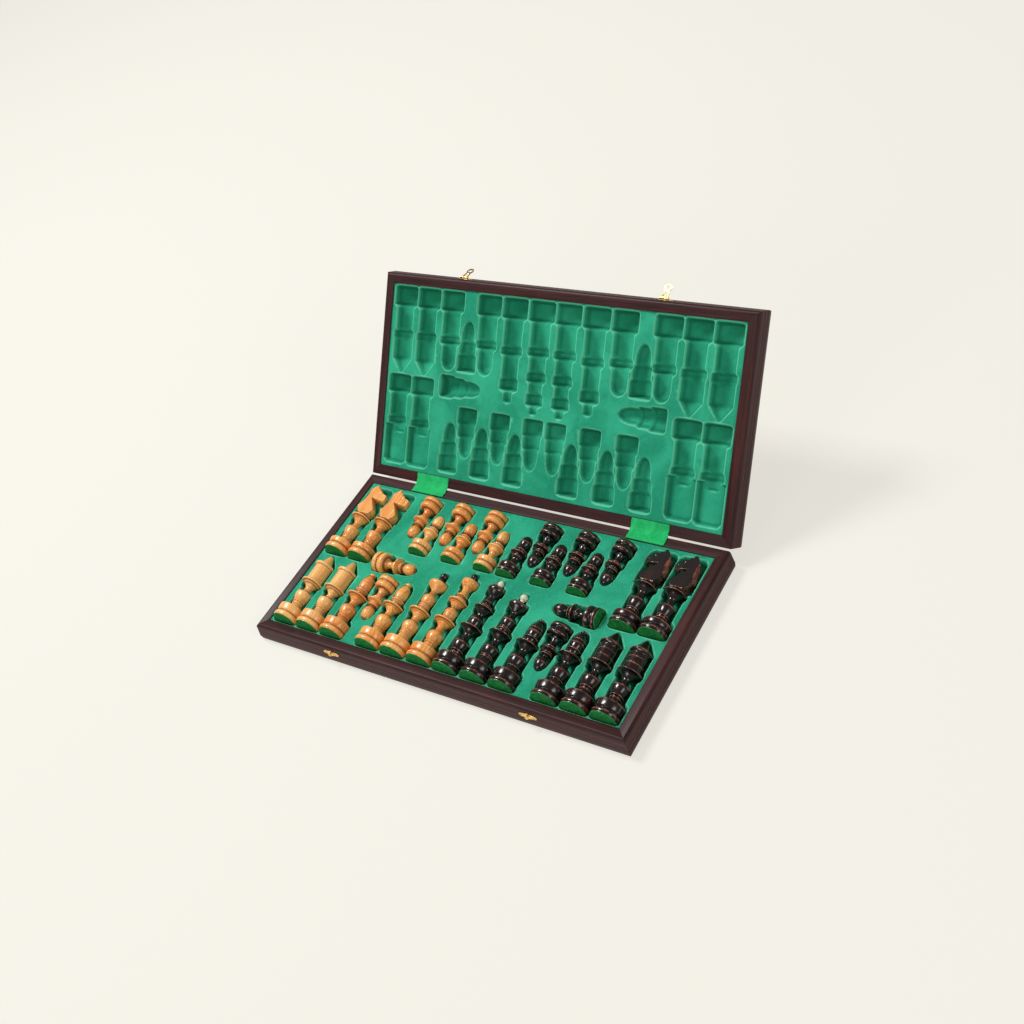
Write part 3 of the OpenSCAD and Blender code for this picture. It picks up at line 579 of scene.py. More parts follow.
# %% A tree of nodes with named inputs
class Growing(Nodes):
    """A Geometry Nodes tree with named inputs, which is run once and kept as a plain mesh."""

    def __init__(self, name, **inputs):
        self.tree = bpy.data.node_groups.new(name, "GeometryNodeTree")
        face = self.tree.interface
        face.new_socket("Geometry", in_out="INPUT", socket_type="NodeSocketGeometry")
        face.new_socket("Geometry", in_out="OUTPUT", socket_type="NodeSocketGeometry")
        self.keys = {}
        for key, value in inputs.items():
            kind = "NodeSocketInt" if isinstance(value, int) else "NodeSocketFloat"
            socket = face.new_socket(key, in_out="INPUT", socket_type=kind)
            socket.default_value = value
            self.keys[key] = socket.identifier
        self.start = self.tree.nodes.new("NodeGroupInput")
        self.end = self.tree.nodes.new("NodeGroupOutput")

    def given(self, *keys):
        """The named inputs, as sockets."""
        return [self.start.outputs[key] for key in keys]

    def geo(self, kind, inputs=(), **settings):
        """The first output of a new node; kind is its name without GeometryNode."""
        return self.add("GeometryNode" + kind, inputs, **settings).outputs[0]

    def vector(self, x=0.0, y=0.0, z=0.0):
        return self.add("ShaderNodeCombineXYZ", {0: x, 1: y, 2: z}).outputs[0]

    def finish(self, geometry, material):
        real = self.add("GeometryNodeRealizeInstances", {0: geometry}).outputs[0]
        painted = self.add("GeometryNodeSetMaterial", {"Geometry": real, "Material": material})
        self.tree.links.new(painted.outputs[0], self.end.inputs[0])

    def grow(self, mesh, **values):
        """Runs the tree on a mesh and gives back points in millimetres, faces and marks."""
        host = placed("growing", mesh)
        modifier = host.modifiers.new("Growing", "NODES")
        modifier.node_group = self.tree
        for key, value in values.items():
            modifier[self.keys[key]] = value
        graph = bpy.context.evaluated_depsgraph_get()
        grown = bpy.data.meshes.new_from_object(host.evaluated_get(graph))
        points = np.empty(len(grown.vertices) * 3)
        grown.vertices.foreach_get("co", points)
        faces = [tuple(p.vertices) for p in grown.polygons]
        marks = {}
        for key in ("grain", "tone"):
            mark = grown.attributes.get(key)
            if mark is not None:
                wide = 3 if mark.data_type == "FLOAT_VECTOR" else 1
                values = np.empty(len(grown.vertices) * wide, np.float32)
                mark.data.foreach_get("vector" if wide == 3 else "value", values)
                marks[key] = values.reshape(-1, wide) if wide == 3 else values
        bpy.data.objects.remove(host)
        bpy.data.meshes.remove(grown)
        return points.reshape(-1, 3) / MM, faces, marks


# %% The field of squares
def square_field():
    """A tree that sets every second square of half a chessboard."""
    g = Growing("field of squares", Square=0.06, Gap=0.0002, Thickness=0.0008, Chamfer=0.00012,
                Sunk=0.0004, Hinge_Edge=0.145, Odd=0, Seed=3)
    square, gap, thick, chamfer = g.given("Square", "Gap", "Thickness", "Chamfer")
    sunk, hinge_edge, odd, seed = g.given("Sunk", "Hinge_Edge", "Odd", "Seed")
    grid = g.geo("MeshGrid", {0: g.math("MULTIPLY", square, 7.0),
                              1: g.math("MULTIPLY", square, 3.0), 2: 8, 3: 4})
    spot = g.geo("InputPosition")
    parts = g.add("ShaderNodeSeparateXYZ", {0: spot})
    column = g.math("FLOOR", g.math("ADD", g.math("DIVIDE", parts.outputs[0], square), 4.1))
    row = g.math("FLOOR", g.math("SUBTRACT", 2.1, g.math("DIVIDE", parts.outputs[1], square)))
    parity = g.math("FLOORED_MODULO", g.math("ADD", column, row), 2.0)
    other = g.add("FunctionNodeCompare", {0: parity, 1: odd}, operation="NOT_EQUAL")
    other.inputs["Epsilon"].default_value = 0.2
    kept = g.geo("DeleteGeometry", {0: grid, 1: other.outputs[0]}, domain="POINT")
    points = g.geo("MeshToPoints", {0: kept})
    tone = g.add("FunctionNodeRandomValue", {"Min": -1.0, "Max": 1.0, "Seed": seed},
                 data_type="FLOAT")
    scalar = next(o for o in tone.outputs if o.enabled)
    marked = g.add("GeometryNodeStoreNamedAttribute", {"Geometry": points, "Name": "tone"},
                   data_type="FLOAT", domain="POINT")
    g.tree.links.new(scalar, marked.inputs["Value"])
    side = g.math("SUBTRACT", square, gap)
    plate = g.geo("MeshGrid", {0: side, 1: side, 2: 2, 3: 2})
    height = g.math("SUBTRACT", thick, chamfer)
    body = g.add("GeometryNodeExtrudeMesh", {"Mesh": plate, "Offset Scale": height})
    top = g.add("GeometryNodeExtrudeMesh", {"Mesh": body.outputs[0], "Selection": body.outputs[1],
                "Offset Scale": chamfer})
    inset = g.math("SUBTRACT", 1.0, g.math("DIVIDE", g.math("MULTIPLY", chamfer, 2.0), side))
    slim = g.geo("ScaleElements", {"Geometry": top.outputs[0], "Selection": top.outputs[1],
                                   "Scale": inset}, domain="FACE")
    bottom = g.geo("FlipFaces", {0: plate})
    whole = g.add("GeometryNodeJoinGeometry")
    g.tree.links.new(slim, whole.inputs[0])
    g.tree.links.new(bottom, whole.inputs[0])
    closed = g.geo("MergeByDistance", {"Geometry": whole.outputs[0], "Distance": 0.000001})
    turned = g.geo("Transform", {"Geometry": closed, "Rotation": (math.pi, 0, 0)})
    laid = g.geo("InstanceOnPoints", {"Points": marked.outputs[0], "Instance": turned})
    shift = g.vector(0.0, g.math("SUBTRACT", hinge_edge, g.math("MULTIPLY", square, 2.0)),
                     g.math("ADD", sunk, thick))
    moved = g.geo("Transform", {"Geometry": laid, "Translation": shift})
    real = g.geo("RealizeInstances", {0: moved})
    read = g.geo("InputNamedAttribute", {"Name": "tone"}, data_type="FLOAT")
    offset = g.add("ShaderNodeVectorMath", {0: g.vector(g.math("MULTIPLY", read, 3.0),
                   g.math("MULTIPLY", read, 1.7)), 1: spot}, operation="ADD")
    grained = g.add("GeometryNodeStoreNamedAttribute", {"Geometry": real, "Name": "grain"},
                    data_type="FLOAT_VECTOR", domain="POINT")
    g.tree.links.new(offset.outputs[0], grained.inputs["Value"])
    g.finish(grained.outputs[0], light_veneer)
    return g


field = square_field()
for body, colour, odd in (("base", "dark", 1), ("base", "light", 0),
                          ("lid", "dark", 0), ("lid", "light", 1)):
    points, faces, marks = field.grow(bpy.data.meshes.new("seed"), Odd=odd,
                                      Seed=5 + odd + 2 * (body == "lid"))
    piece(f"{body}_{colour}_veneers", points, faces, body, f"square_{colour}",
          [f"{body}_{colour}_squares"], [dark_veneer if colour == "dark" else light_veneer],
          marks=marks, sharp=30)
    print(body, colour, "squares:", len(faces), "faces")

# %% [markdown]
# ## The men's forms
#
# Each man is a turning: a list of radius and height in millimetres, from the middle of the
# foot to the tip. The lists are put together from the same few forms that a turner uses,
# a foot with a flange and a thick ring, an urn-shaped ball and a thin flaring disc. Corners
# are rounded by a fraction of a millimetre, because no tool and no sandpaper leaves a
# perfect edge.


# %% Forms on the lathe
def bow(cr, cz, a, b, a0, a1, n):
    """Part of an ellipse round (cr, cz), from the angle a0 to a1 in n steps."""
    return [(cr + a * math.cos(math.radians(a0 + (a1 - a0) * i / n)),
             cz + b * math.sin(math.radians(a0 + (a1 - a0) * i / n))) for i in range(n + 1)]


def bead(r, z, b):
    """A small ring of radius r at the height z."""
    return bow(r - b, z, b, b * 0.8, -90, 90, 8)


def foot(r, groove=9, crest=19.7, h=22.5):
    """A flange up to the groove, and above it a ring that grows to its crest."""
    return [(0, 0.9), (r - 1, 0.9),
            *bow(r - 2, (groove + 0.2) / 2, 2, (groove - 1.8) / 2, -60, 90, 12),
            (r - 2.4, groove - 0.5), (r - 2.4, groove + 0.3),
            *bow(r - 2.2, crest, 2.2, crest - groove - 0.4, -88, 0, 14),
            *bow(r * 0.5, crest, r * 0.5, h - crest, 8, 90, 12)]


def urn(z, r, low, high):
    """A ball with its widest place at z, long below it and short above."""
    return [*bow(0, z, r, low, -44, 0, 10), *bow(0, z, r, high, 7, 60, 9)]


def dish(r, z, neck, top):
    """A thin disc that flares out of the neck below it."""
    return [(neck, z - 11), (neck * 1.02, z - 9.8), (neck + 0.5, z - 8.4), (neck + 1.4, z - 7),
            (neck + 2.8, z - 5.2), (r * 0.6, z - 3.4), (r * 0.72, z - 2.3), (r * 0.83, z - 1.4),
            (r - 0.6, z - 0.9), (r, z - 0.4), (r, z + 0.6), (r - 0.8, z + 1.2),
            (top + 1.6, z + 1.9), (top, z + 2.6)]


# %% The lists of the men
ROYAL, MINOR, PAWN = 19.3, 18.8, 15.0
KING = [*foot(ROYAL), *bead(8.4, 27, 1.4), *bead(9, 31.1, 1.3),
        *urn(43.1, 10.9, 15.3, 8), *dish(15.8, 66.6, 5.1, 6), *urn(80.7, 8.8, 14.6, 8.7),
        *dish(13.8, 99.4, 4.6, 8.2), *bead(9.3, 103.6, 1.6), (6.2, 106), (5.8, 108.6),
        *bead(7.8, 110.4, 1.3), (5, 112.4), (4.7, 116), (4.9, 120), (6.4, 123), (9, 126),
        (11.2, 128.4), (11.9, 130.6), (11.9, 133), (11.2, 134.6), (9.4, 135.7), (6, 136.2),
        (0, 136.2)]
QUEEN = [*foot(ROYAL), (8.2, 26), (7.6, 31), *bead(8.7, 33.2, 1.2),
         *bead(8.7, 35.9, 1.1), *urn(47.2, 11, 14, 8), *dish(15.6, 70, 5.1, 7.2),
         *bead(8, 74, 1), (6.4, 76), *bead(8, 78.4, 1.2), *bead(8, 81.2, 1),
         *urn(92.4, 9.2, 13.4, 8.1), (4.2, 102), (4.2, 105), (5.2, 107.4), (8, 110),
         (11.4, 112.6), (13, 114.6), (13.3, 116.4), (13.3, 118), (12.4, 119.8), (10, 120.8),
         (6.5, 121.2), (0, 121.2)]
BISHOP = [*foot(MINOR), (8.2, 26), (7.6, 30), *bead(8.8, 31.8, 1.3),
          *urn(44, 11, 15.3, 8.4), *dish(15.4, 66.8, 5.1, 6.9), (6.6, 70.4), (6.8, 73), (8, 75.8),
          (9.4, 76.9), (9.5, 77.5), (9.3, 78.1), (7.6, 78.6), *bow(0, 87, 8.9, 14, -34, 0, 8),
          *bow(0, 87, 8.9, 16.5, 4, 15, 2), (8.1, 91.7), *bow(0, 87, 8.9, 16.5, 18, 69, 12),
          (3, 102.9), (4.3, 103.6), (4.6, 104.8), (4.3, 106.1), (3.2, 106.8), (0, 107)]
ROOK = [*foot(MINOR), (8.6, 24.6), (7.2, 28), *bead(8, 30, 1.1), (7, 32.2),
        *bead(9, 34, 1.3), *urn(46.5, 11.6, 15.3, 6.2), *dish(16.2, 67.3, 5, 12.2),
        (12.2, 78.7), (11.7, 79), (12.2, 79.3), (12.2, 88), (11.7, 88.3), (12.2, 88.6),
        (12.2, 94), (13.2, 95.6), (14.8, 96.8), (14.8, 99.2), (14.2, 99.8), (9.2, 100),
        (8.8, 100.6), (3.8, 114.4), (2.6, 116.4), (0, 117)]
KNIGHT_STEM = [*foot(MINOR, 9.6, 17.4, 19.6), (7.8, 23), *bead(8.2, 27, 1.2),
               *bead(8.6, 30.5, 1.2), *urn(43.9, 10.7, 17.2, 6.1), *dish(15.3, 66, 5.1, 7),
               (6.8, 70.4), *bead(9.4, 73, 1.3), (6, 75), (6, 77), (0, 77)]
PAWN_FORM = [*foot(PAWN, 8.4, 15, 18.8), (5.8, 20.6), (4.9, 24), *dish(12.2, 37.4, 4.8, 6.2),
             *bead(6.9, 41.4, 0.9), *bead(7.6, 44, 1.2), (4.6, 46),
             *bow(0, 57, 8, 11, -62, 90, 20)]
KING_TIP = [(0, 136.3), (3.6, 136.3), (2.9, 137.4), (2.8, 138.6), (3.4, 139.8), (4.1, 141.4),
            (4.2, 143), (3.9, 144.8), (3, 146.6), (1.6, 147.8), (0, 148)]
QUEEN_TIP = [(0, 121.3), (3.8, 121.3), (3, 122.6), (2.8, 124.6),
             *bow(0, 131.8, 5.2, 5.2, -58, 90, 16)]


# %% Rounding, edge marks and the lathe itself
def lengths(path):
    """How far along a path each of its points lies."""
    return np.concatenate([[0], np.cumsum(np.hypot(*np.diff(path, axis=0).T))])


def at(path, s, t):
    """The places on a path at the lengths t, when its points lie at the lengths s."""
    return np.stack([np.interp(t, s, path[:, 0]), np.interp(t, s, path[:, 1])], 1)


def softened(form, radius=0.4, longest=3.0):
    """Rounds the corners of a form and splits its long stretches."""
    p = np.array(form, float)
    out = [p[0]]
    for a, b, c in zip(p, p[1:], p[2:]):
        u, v = a - b, c - b
        lu, lv = np.hypot(*u), np.hypot(*v)
        if min(lu, lv) < 1e-6:
            continue
        turn = math.degrees(math.acos(np.clip(-(u @ v) / lu / lv, -1, 1)))
        t = min(radius, 0.45 * lu, 0.45 * lv)
        if turn < 16:
            out.append(b)
            continue
        s, e = b + u / lu * t, b + v / lv * t
        out += [(1 - w) ** 2 * s + 2 * w * (1 - w) * b + w * w * e for w in (0, 0.33, 0.67, 1)]
    out.append(p[-1])
    fine = [out[0]]
    for q in out[1:]:
        steps = max(1, math.ceil(np.hypot(*(q - fine[-1])) / longest))
        start = fine[-1]
        fine += [start + (q - start) * i / steps for i in range(1, steps + 1)]
    return np.array(fine)


def crests(form):
    """Rows where a ring, a rim or a ball is widest."""
    r = form[:, 0]
    widest = (r[1:-1] >= r[:-2]) & (r[1:-1] > r[2:]) & (r[1:-1] > 4)
    return np.nonzero(widest)[0] + 1


def ringed(form):
    """Adds rows by each crest for a thin line: wear on dark men, painted highlight on light ones.
    """
    s = lengths(form)
    near = (0.25, 0.5, 0.9, 1.6)
    extra = [s[i] + d * sign for i in crests(form) for sign in (-1, 1) for d in near]
    t = np.sort(np.concatenate([s, [e for e in extra if np.abs(s - e).min() > 0.08]]))
    return at(form, s, t)


def grooves(form, reach=3.6, full=2.4):
    """How deep each row lies in a groove: 0 on the outside, 1 at the full depth."""
    r, z = form.T
    near = np.abs(z[:, None] - z) <= reach
    widest = np.where(near, r, 0).max(1)
    closed = np.where(near, widest, 99).min(1)
    return np.clip((closed - r) / full, 0, 1)


def edge_mark(form, reach=0.8):
    """Above 0 on outer edges and rings, below 0 in hollows."""
    s = lengths(form)
    u, v = form - at(form, s, s - reach), at(form, s, s + reach) - form
    turn = np.arctan2(u[:, 0] * v[:, 1] - u[:, 1] * v[:, 0], (u * v).sum(1))
    outer, hollow = np.clip((turn - 0.3) / 0.9, 0, 1), np.clip((turn + 0.2) / 1.2, -1, 0)
    mark = np.where(turn > 0, outer, hollow)
    for i in crests(form):
        off = s - s[i]
        mark = np.maximum(mark, np.maximum(0.55 * np.exp(-(off / 1.5) ** 2),
                                           0.8 * np.exp(-(off / 0.4) ** 2)))
    # Grooves push the mark below 0, and the finishes paint shade there.
    return np.clip(mark - grooves(form), -1, 1)


def lathe(form, turns):
    """Turns a form about Z; the form starts and ends on the axis."""
    ring = form[1:-1]
    angle = np.arange(turns) * 2 * math.pi / turns
    points = np.stack([np.outer(ring[:, 0], np.cos(angle)), np.outer(ring[:, 0], np.sin(angle)),
                       np.repeat(ring[:, 1:], turns, 1)], 2).reshape(-1, 3)
    points = np.concatenate([points, [[0, 0, form[0, 1]], [0, 0, form[-1, 1]]]])
    low, top = len(points) - 2, len(points) - 1
    last = (len(ring) - 1) * turns
    faces = []
    for j in range(turns):
        n = (j + 1) % turns
        faces.append((low, n, j))
        faces.append((top, last + j, last + n))
        faces += [(i + j, i + n, i + turns + n, i + turns + j) for i in range(0, last, turns)]
    rows = np.concatenate([np.repeat(np.arange(1, len(form) - 1), turns), [0, len(form) - 1]])
    return points, faces, rows


# %% [markdown]
# The felt under a foot is a separate disc, a little smaller than the foot. Its face is not
# quite flat: rings of points are pushed in and out by a fraction of a millimetre.


# %% The felt under the feet
FELT, FELT_TURNS = 1.0, 48


def felt_disc(r, seed):
    """The felt under a foot of radius r."""
    rings = [(0, 0.12), (r * 0.2, 0.1), (r * 0.4, 0.08), (r * 0.6, 0.06), (r * 0.8, 0.04),
             (r - 2.2, 0.03), (r - 1.4, 0.1), (r - 1.1, 0.35), (r - 1.05, FELT + 0.2),
             (0, FELT + 0.2)]
    points, faces, rows = lathe(np.array(rings, float), FELT_TURNS)
    rng = np.random.default_rng(seed)
    waves = rng.uniform(-0.5, 0.5, (6, 2))
    phase = rng.uniform(0, 6.28, 6)
    push = sum(np.sin(points[:, :2] @ w + p) for w, p in zip(waves, phase)) * 0.03
    face = rows < 6
    points[face, 2] += np.clip(push[face], -0.05, 0.05) + 0.03
    return points, faces


# %% [markdown]
# ## Carved horse heads
#
# A horse head starts as a flat sawn blank, and its edges are then cut back with a knife.
# That is how it is built here: the outline is filled with a fine net of triangles, and
# the net is pushed out to each side by the blank's half thickness. The cheek slopes in
# towards the nose, one long facet is cut along the mane, and the rest of the edge is only
# broken with sandpaper. Eye and nostril are small round pits.

# %% The outline and its net
HEAD_Z, THICK = 72.0, 7.5
HORSE = [(-9, 1.4), (-10.8, 4.2), (-13.4, 8.4), (-15.8, 12), (-16.5, 14.6), (-16.6, 18),
         (-16.3, 22), (-15.9, 26), (-15.5, 30), (-15.1, 34), (-14.4, 38.2), (-13.2, 42),
         (-11.4, 45.6), (-9.2, 49), (-7.2, 51.6), (-5.4, 52.9), (-3.8, 53), (-2.6, 52.1),
         (-1.8, 50.2), (-1.4, 48.4), (0.2, 48.5), (1.7, 48.1), (2.4, 46.6), (2.9, 45.1),
         (5, 44.7), (7.3, 44.2), (8.2, 42.8), (9, 41.6), (11.8, 41.2), (14.4, 40.8),
         (16.4, 39.8), (17.5, 37.8), (17.8, 35), (17.6, 31.6), (16.8, 29.6), (15.4, 29),
         (11, 29), (6, 29.1), (1.6, 29.7), (-2.6, 30.6), (-0.6, 27.6), (2.4, 23.8),
         (5.6, 19.8), (8.6, 16.2), (11.4, 12.9), (12.6, 10.6), (12.6, 7.6), (11.4, 4.6), (9, 1.4)]
FACET = np.array([(12.6, -15.8), (16, -13.8), (21, -11.9), (26.5, -10.7), (32, -10.3),
                  (37, -10.6), (41, -11.4), (43.6, -12.3)])
EYE, NOSTRIL = (6.2, 39.0), (13.4, 34.6)
EDGE_STEP, NET_STEP, CREASE_STEP = 0.6, 0.66, 0.55
CHEEK_SLOPE, FACET_SLOPE, BROKEN_EDGE = 0.25, 0.92, 0.5


def spaced(outline, step):
    """The outline walked at even steps, its corners kept."""
    out = []
    for a, b in zip(outline, outline[1:] + outline[:1]):
        n = max(1, round(math.dist(a, b) / step))
        out += [(a[0] + (b[0] - a[0]) * i / n, a[1] + (b[1] - a[1]) * i / n) for i in range(n)]
    return np.array(out)


def inside(points, ring):
    """Which points lie inside a closed outline."""
    x, y = points[:, :1], points[:, 1:]
    ax, ay = ring[:, 0], ring[:, 1]
    bx, by = np.roll(ax, -1), np.roll(ay, -1)
    with np.errstate(divide="ignore", invalid="ignore"):
        hit = ((ay > y) != (by > y)) & (x < (bx - ax) * (y - ay) / (by - ay) + ax)
    return hit.sum(1) % 2 == 1


def to_lines(points, starts, ends):
    """Distance from each point to each of some lines."""
    a, d = starts[None], (ends - starts)[None]
    t = np.clip(((points[:, None] - a) * d).sum(2) / np.maximum((d * d).sum(2), 1e-9), 0, 1)
    return np.hypot(*np.moveaxis(points[:, None] - a - d * t[..., None], 2, 0))


def ease(x, low, high):
    """From 0 at low to 1 at high, slow at both ends."""
    t = np.clip((x - low) / (high - low), 0, 1)
    return t * t * (3 - 2 * t)


# %% Cutting the head
def horse_head():
    """Points, faces and edge marks of one carved head."""
    ring = spaced(HORSE, EDGE_STEP)
    starts, ends = ring, np.roll(ring, -1, 0)
    along = np.roll(ring, -1, 0) - np.roll(ring, 1, 0)
    along /= np.linalg.norm(along, axis=1)[:, None]
    lines = [ring]
    for deep in (0.18, 0.5):
        inner = ring + deep * np.stack([along[:, 1], -along[:, 0]], 1)
        inner = inner[inside(inner, ring)]
        lines.append(inner[to_lines(inner, starts, ends).min(1) > deep * 0.8])
    crease = np.arange(13, 43.5, CREASE_STEP)
    crease = np.stack([np.interp(crease, *FACET.T), crease], 1)
    net = np.array([(x + (j % 2) * NET_STEP / 2, HORSE[0][1] + j * NET_STEP * 0.87)
                    for j in range(92) for x in np.arange(-18, 18.5, NET_STEP)])
    net = net[inside(net, ring)]
    net = net[to_lines(net, starts, ends).min(1) > 0.8]
    net = net[to_lines(net, crease[:-1], crease[1:]).min(1) > 0.3]
    flat = np.concatenate([*lines, crease, net])
    first = sum(len(line) for line in lines)
    edges = [(i, (i + 1) % len(ring)) for i in range(len(ring))]
    edges += [(first + i, first + i + 1) for i in range(len(crease) - 1)]
    found = delaunay_2d_cdt([Vector(p) for p in flat], edges, [], 1, 1e-6)
    flat = np.array([tuple(p) for p in found[0]])
    tris = [tuple(f) for f in found[2]]
    u, v = flat.T
    gap = to_lines(flat, starts, ends).min(1)
    half = THICK - CHEEK_SLOPE * np.clip(u - 7, 0, None) * ease(v, 20, 24)
    crest = np.interp(v, *FACET.T)
    cut = (u < crest + 1e-4) & (v > 12.7) & (v < 43.6)
    off = to_lines(flat, crease[:-1], crease[1:]).min(1) * cut
    half -= FACET_SLOPE * off
    half -= BROKEN_EDGE * (1 - np.sqrt(1 - np.clip(1 - gap / BROKEN_EDGE, 0, 1) ** 2))
    for (x, y), size, deep in ((EYE, 1.1, 0.8), (NOSTRIL, 0.8, 0.9)):
        half -= deep * np.exp(-(np.hypot(u - x, v - y) / size) ** 4)
    n = len(flat)
    points = np.concatenate([np.stack([u, side * half, v + HEAD_Z], 1) for side in (-1, 1)])
    sides = dict.fromkeys(side for t in tris for side in zip(t, t[1:] + t[:1]))
    faces = (tris + [tuple(i + n for i in reversed(t)) for t in tris]
             + [(b, a, a + n, b + n) for a, b in sides if (b, a) not in sides])
    # Broken edges count as wear; the mark on the long facet paints a highlight there.
    wear = np.maximum(np.clip(0.8 - gap / 0.7, 0, 1) * 0.5, 0.6 * ease(off, 0.1, 1.0))
    return points, faces, np.concatenate([wear, wear])


head_points, head_faces, head_wear_and_highlight = horse_head()
print("horse head:", len(head_faces), "faces")


# %% [markdown]
# ## Laying the men in the tray
#
# The men lie on their sides with their axes just below the rim. Most point away from the
# latch edge; the pawns fill the gaps in both directions, and one on each side lies across.
# A man's grain starts at another place in the wood and is turned by a chance angle, which
# a fixed seed keeps the same in every run.


# %% Places and laying down
def laid(points, way, side, x, y):
    """Turns an upright man so that its foot points to the front, back or end."""
    px, py, pz = points.T
    if way == "front":
        return np.stack([side * x + px, y + pz, LIE - py], 1)
    if way == "back":
        return np.stack([side * x + px, y - pz, LIE + py], 1)
    return np.stack([side * x - side * pz, y + py, LIE + side * px], 1)


FRONT_Y, KNIGHT_Y = -126.4, -1.7
KING_X, QUEEN_X, OUTER_X = 20.9, 64.1, (210.6, 251.8)
PAWNS = [("front", 18.3, 30.6), ("front", 72.5, 30.6), ("front", 128.0, 30.6),
         ("back", 45.0, 121.4), ("back", 100.4, 121.4), ("back", 155.6, 121.4),
         ("back", 138.0, -20.8), ("end", 178.4, 3.0)]
MEN = [("king", KING, ROYAL, "front", KING_X, FRONT_Y),
       ("queen", QUEEN, ROYAL, "front", QUEEN_X, FRONT_Y)]
for kind, form, places, y in (("bishop", BISHOP, (106.6, 168.9), FRONT_Y),
                              ("knight", KNIGHT_STEM, OUTER_X, KNIGHT_Y),
                              ("rook", ROOK, OUTER_X, FRONT_Y)):
    MEN += [(f"{kind}_{i + 1}", form, MINOR, "front", x, y) for i, x in enumerate(places)]
MEN += [(f"pawn_{i + 1}", PAWN_FORM, PAWN, *place) for i, place in enumerate(PAWNS)]


def grain_of(points, rng):
    """The turning's axis first, then the two across, turned and shifted by chance."""
    a = rng.uniform(0, 2 * math.pi)
    c, s = math.cos(a), math.sin(a)
    shift = rng.uniform(-0.5, 0.5, 3)
    x, y, z = points.T
    return np.stack([z, x * c - y * s, x * s + y * c], 1) * MM + shift


# %% Turning and laying every man
FOOT_TURNS, PAWN_TURNS, TIP_TURNS = 64, 56, 40
TONES = {"light_rook_1": 0.9, "light_rook_2": 0.8, "light_bishop_2": -0.8, "light_bishop_1": 0.1,
         "light_king": -0.3, "light_queen": 0.35, "light_knight_1": -0.4, "light_knight_2": 0.3,
         "dark_rook_1": 0.9, "dark_rook_2": 0.6, "dark_king": -0.8, "dark_queen": -0.7}

for side, colour, wood in ((-1, "light", light_wood), (1, "dark", dark_wood)):
    for number, (kind, form, r, way, x, y) in enumerate(MEN):
        name = f"{colour}_{kind}"
        rng = np.random.default_rng(100 + number + 50 * (side > 0))
        tone = TONES.get(name, float(rng.uniform(-0.6, 0.6)))
        shape = ringed(softened(form))
        points, faces, rows = lathe(shape, FOOT_TURNS if r > PAWN else PAWN_TURNS)
        parts = [(points, faces, {"wear": edge_mark(shape)[rows]})]
        if kind.startswith("knight"):
            parts.append((head_points, head_faces, {"wear": head_wear_and_highlight}))
        points, faces, marks = joined(parts)
        marks = {"grain": grain_of(points, rng), **marks}
        disc, disc_faces = felt_disc(r, number)
        which = [0] * len(faces) + [1] * len(disc_faces)
        points, faces, marks = joined([(points, faces, marks), (disc, disc_faces, {
            "grain": disc * MM, "wear": np.zeros(len(disc))})])
        marks["tone"] = np.full(len(points), tone)
        if kind.startswith("knight") and side > 0:
            points = points * (-1, -1, 1)
        piece(f"{name}_turned", laid(points, way, side, x, y), faces, name, f"{colour}_men",
              [name], [wood, foot_felt], which, marks, sharp=36)
    for kind, form, x in (("king", KING_TIP, KING_X), ("queen", QUEEN_TIP, QUEEN_X)):
        rng = np.random.default_rng(7)
        shape = softened(form, 0.3, 1.2)
        points, faces, rows = lathe(shape, TIP_TURNS)
        marks = {"grain": grain_of(points, rng), "wear": edge_mark(shape)[rows] * 0.5,
                 "tone": np.full(len(points), 0.8)}
        slot, look = ("ivory_tips", tip_wood) if side > 0 else ("dark_men", dark_wood)
        piece(f"{colour}_{kind}_tip", laid(points, "front", side, x, FRONT_Y), faces,
              f"{colour}_{kind}", slot, [f"{colour}_{kind}_finial"], [look], marks=marks, sharp=40)
print("men turned:", 2 * len(MEN))

# %% [markdown]
# ## The formed trays
#
# A tray is drawn down over a mould with all the men's shapes in it, so it is one skin
# that only ever goes down: a height for each place. That makes it a rule rather than
# a drawing. Over a fine grid, each man's recess takes the height down to its own hollow.
# Inside a hollow the steps run softly into each other, as the mould's do, and the whole
# field is then blurred by less than a millimetre, which rounds the lips as warm plastic
# does. The blur also tells where the skin bends: the flock gets a painted highlight on
# the outer lips and painted shade in the inner bends.

# %% Depth of the recesses
ROOM = 0.8
STEPS = {
    "king": [(ROYAL, 26), (13.6, 61), (16.3, 71.5), (11.4, 94), (14.4, 106), (9.6, 123),
             (12.6, 137.6), (5.2, 149)],
    "queen": [(ROYAL, 26), (13.6, 64.5), (16.1, 74.8), (11.6, 107.5), (13.9, 122.6), (5.4, 138.2)],
    "bishop": [(MINOR, 26), (13.4, 61), (16, 71.5), (10.8, 94)],
    "rook": [(MINOR, 26), (13.4, 61.5), (16.9, 71.5), (15.4, 101)],
    "knight": [(MINOR, 24), (13.4, 60), (15.9, 70), (12, 82)],
    "pawn": [(PAWN, 21.5), (12.6, 39.6), (9.8, 48.5)]}
TIPS = {"bishop": (93, 107, 10.8), "pawn": (47.5, 68, 9.8), "rook": (100, 120, 15.4)}


def smoothed(line, sigma):
    """A line of numbers blurred by sigma places."""
    reach = math.ceil(3 * sigma)
    weights = np.exp(-0.5 * (np.arange(-reach, reach + 1) / sigma) ** 2)
    return np.convolve(np.pad(line, reach, "edge"), weights / weights.sum(), "valid")


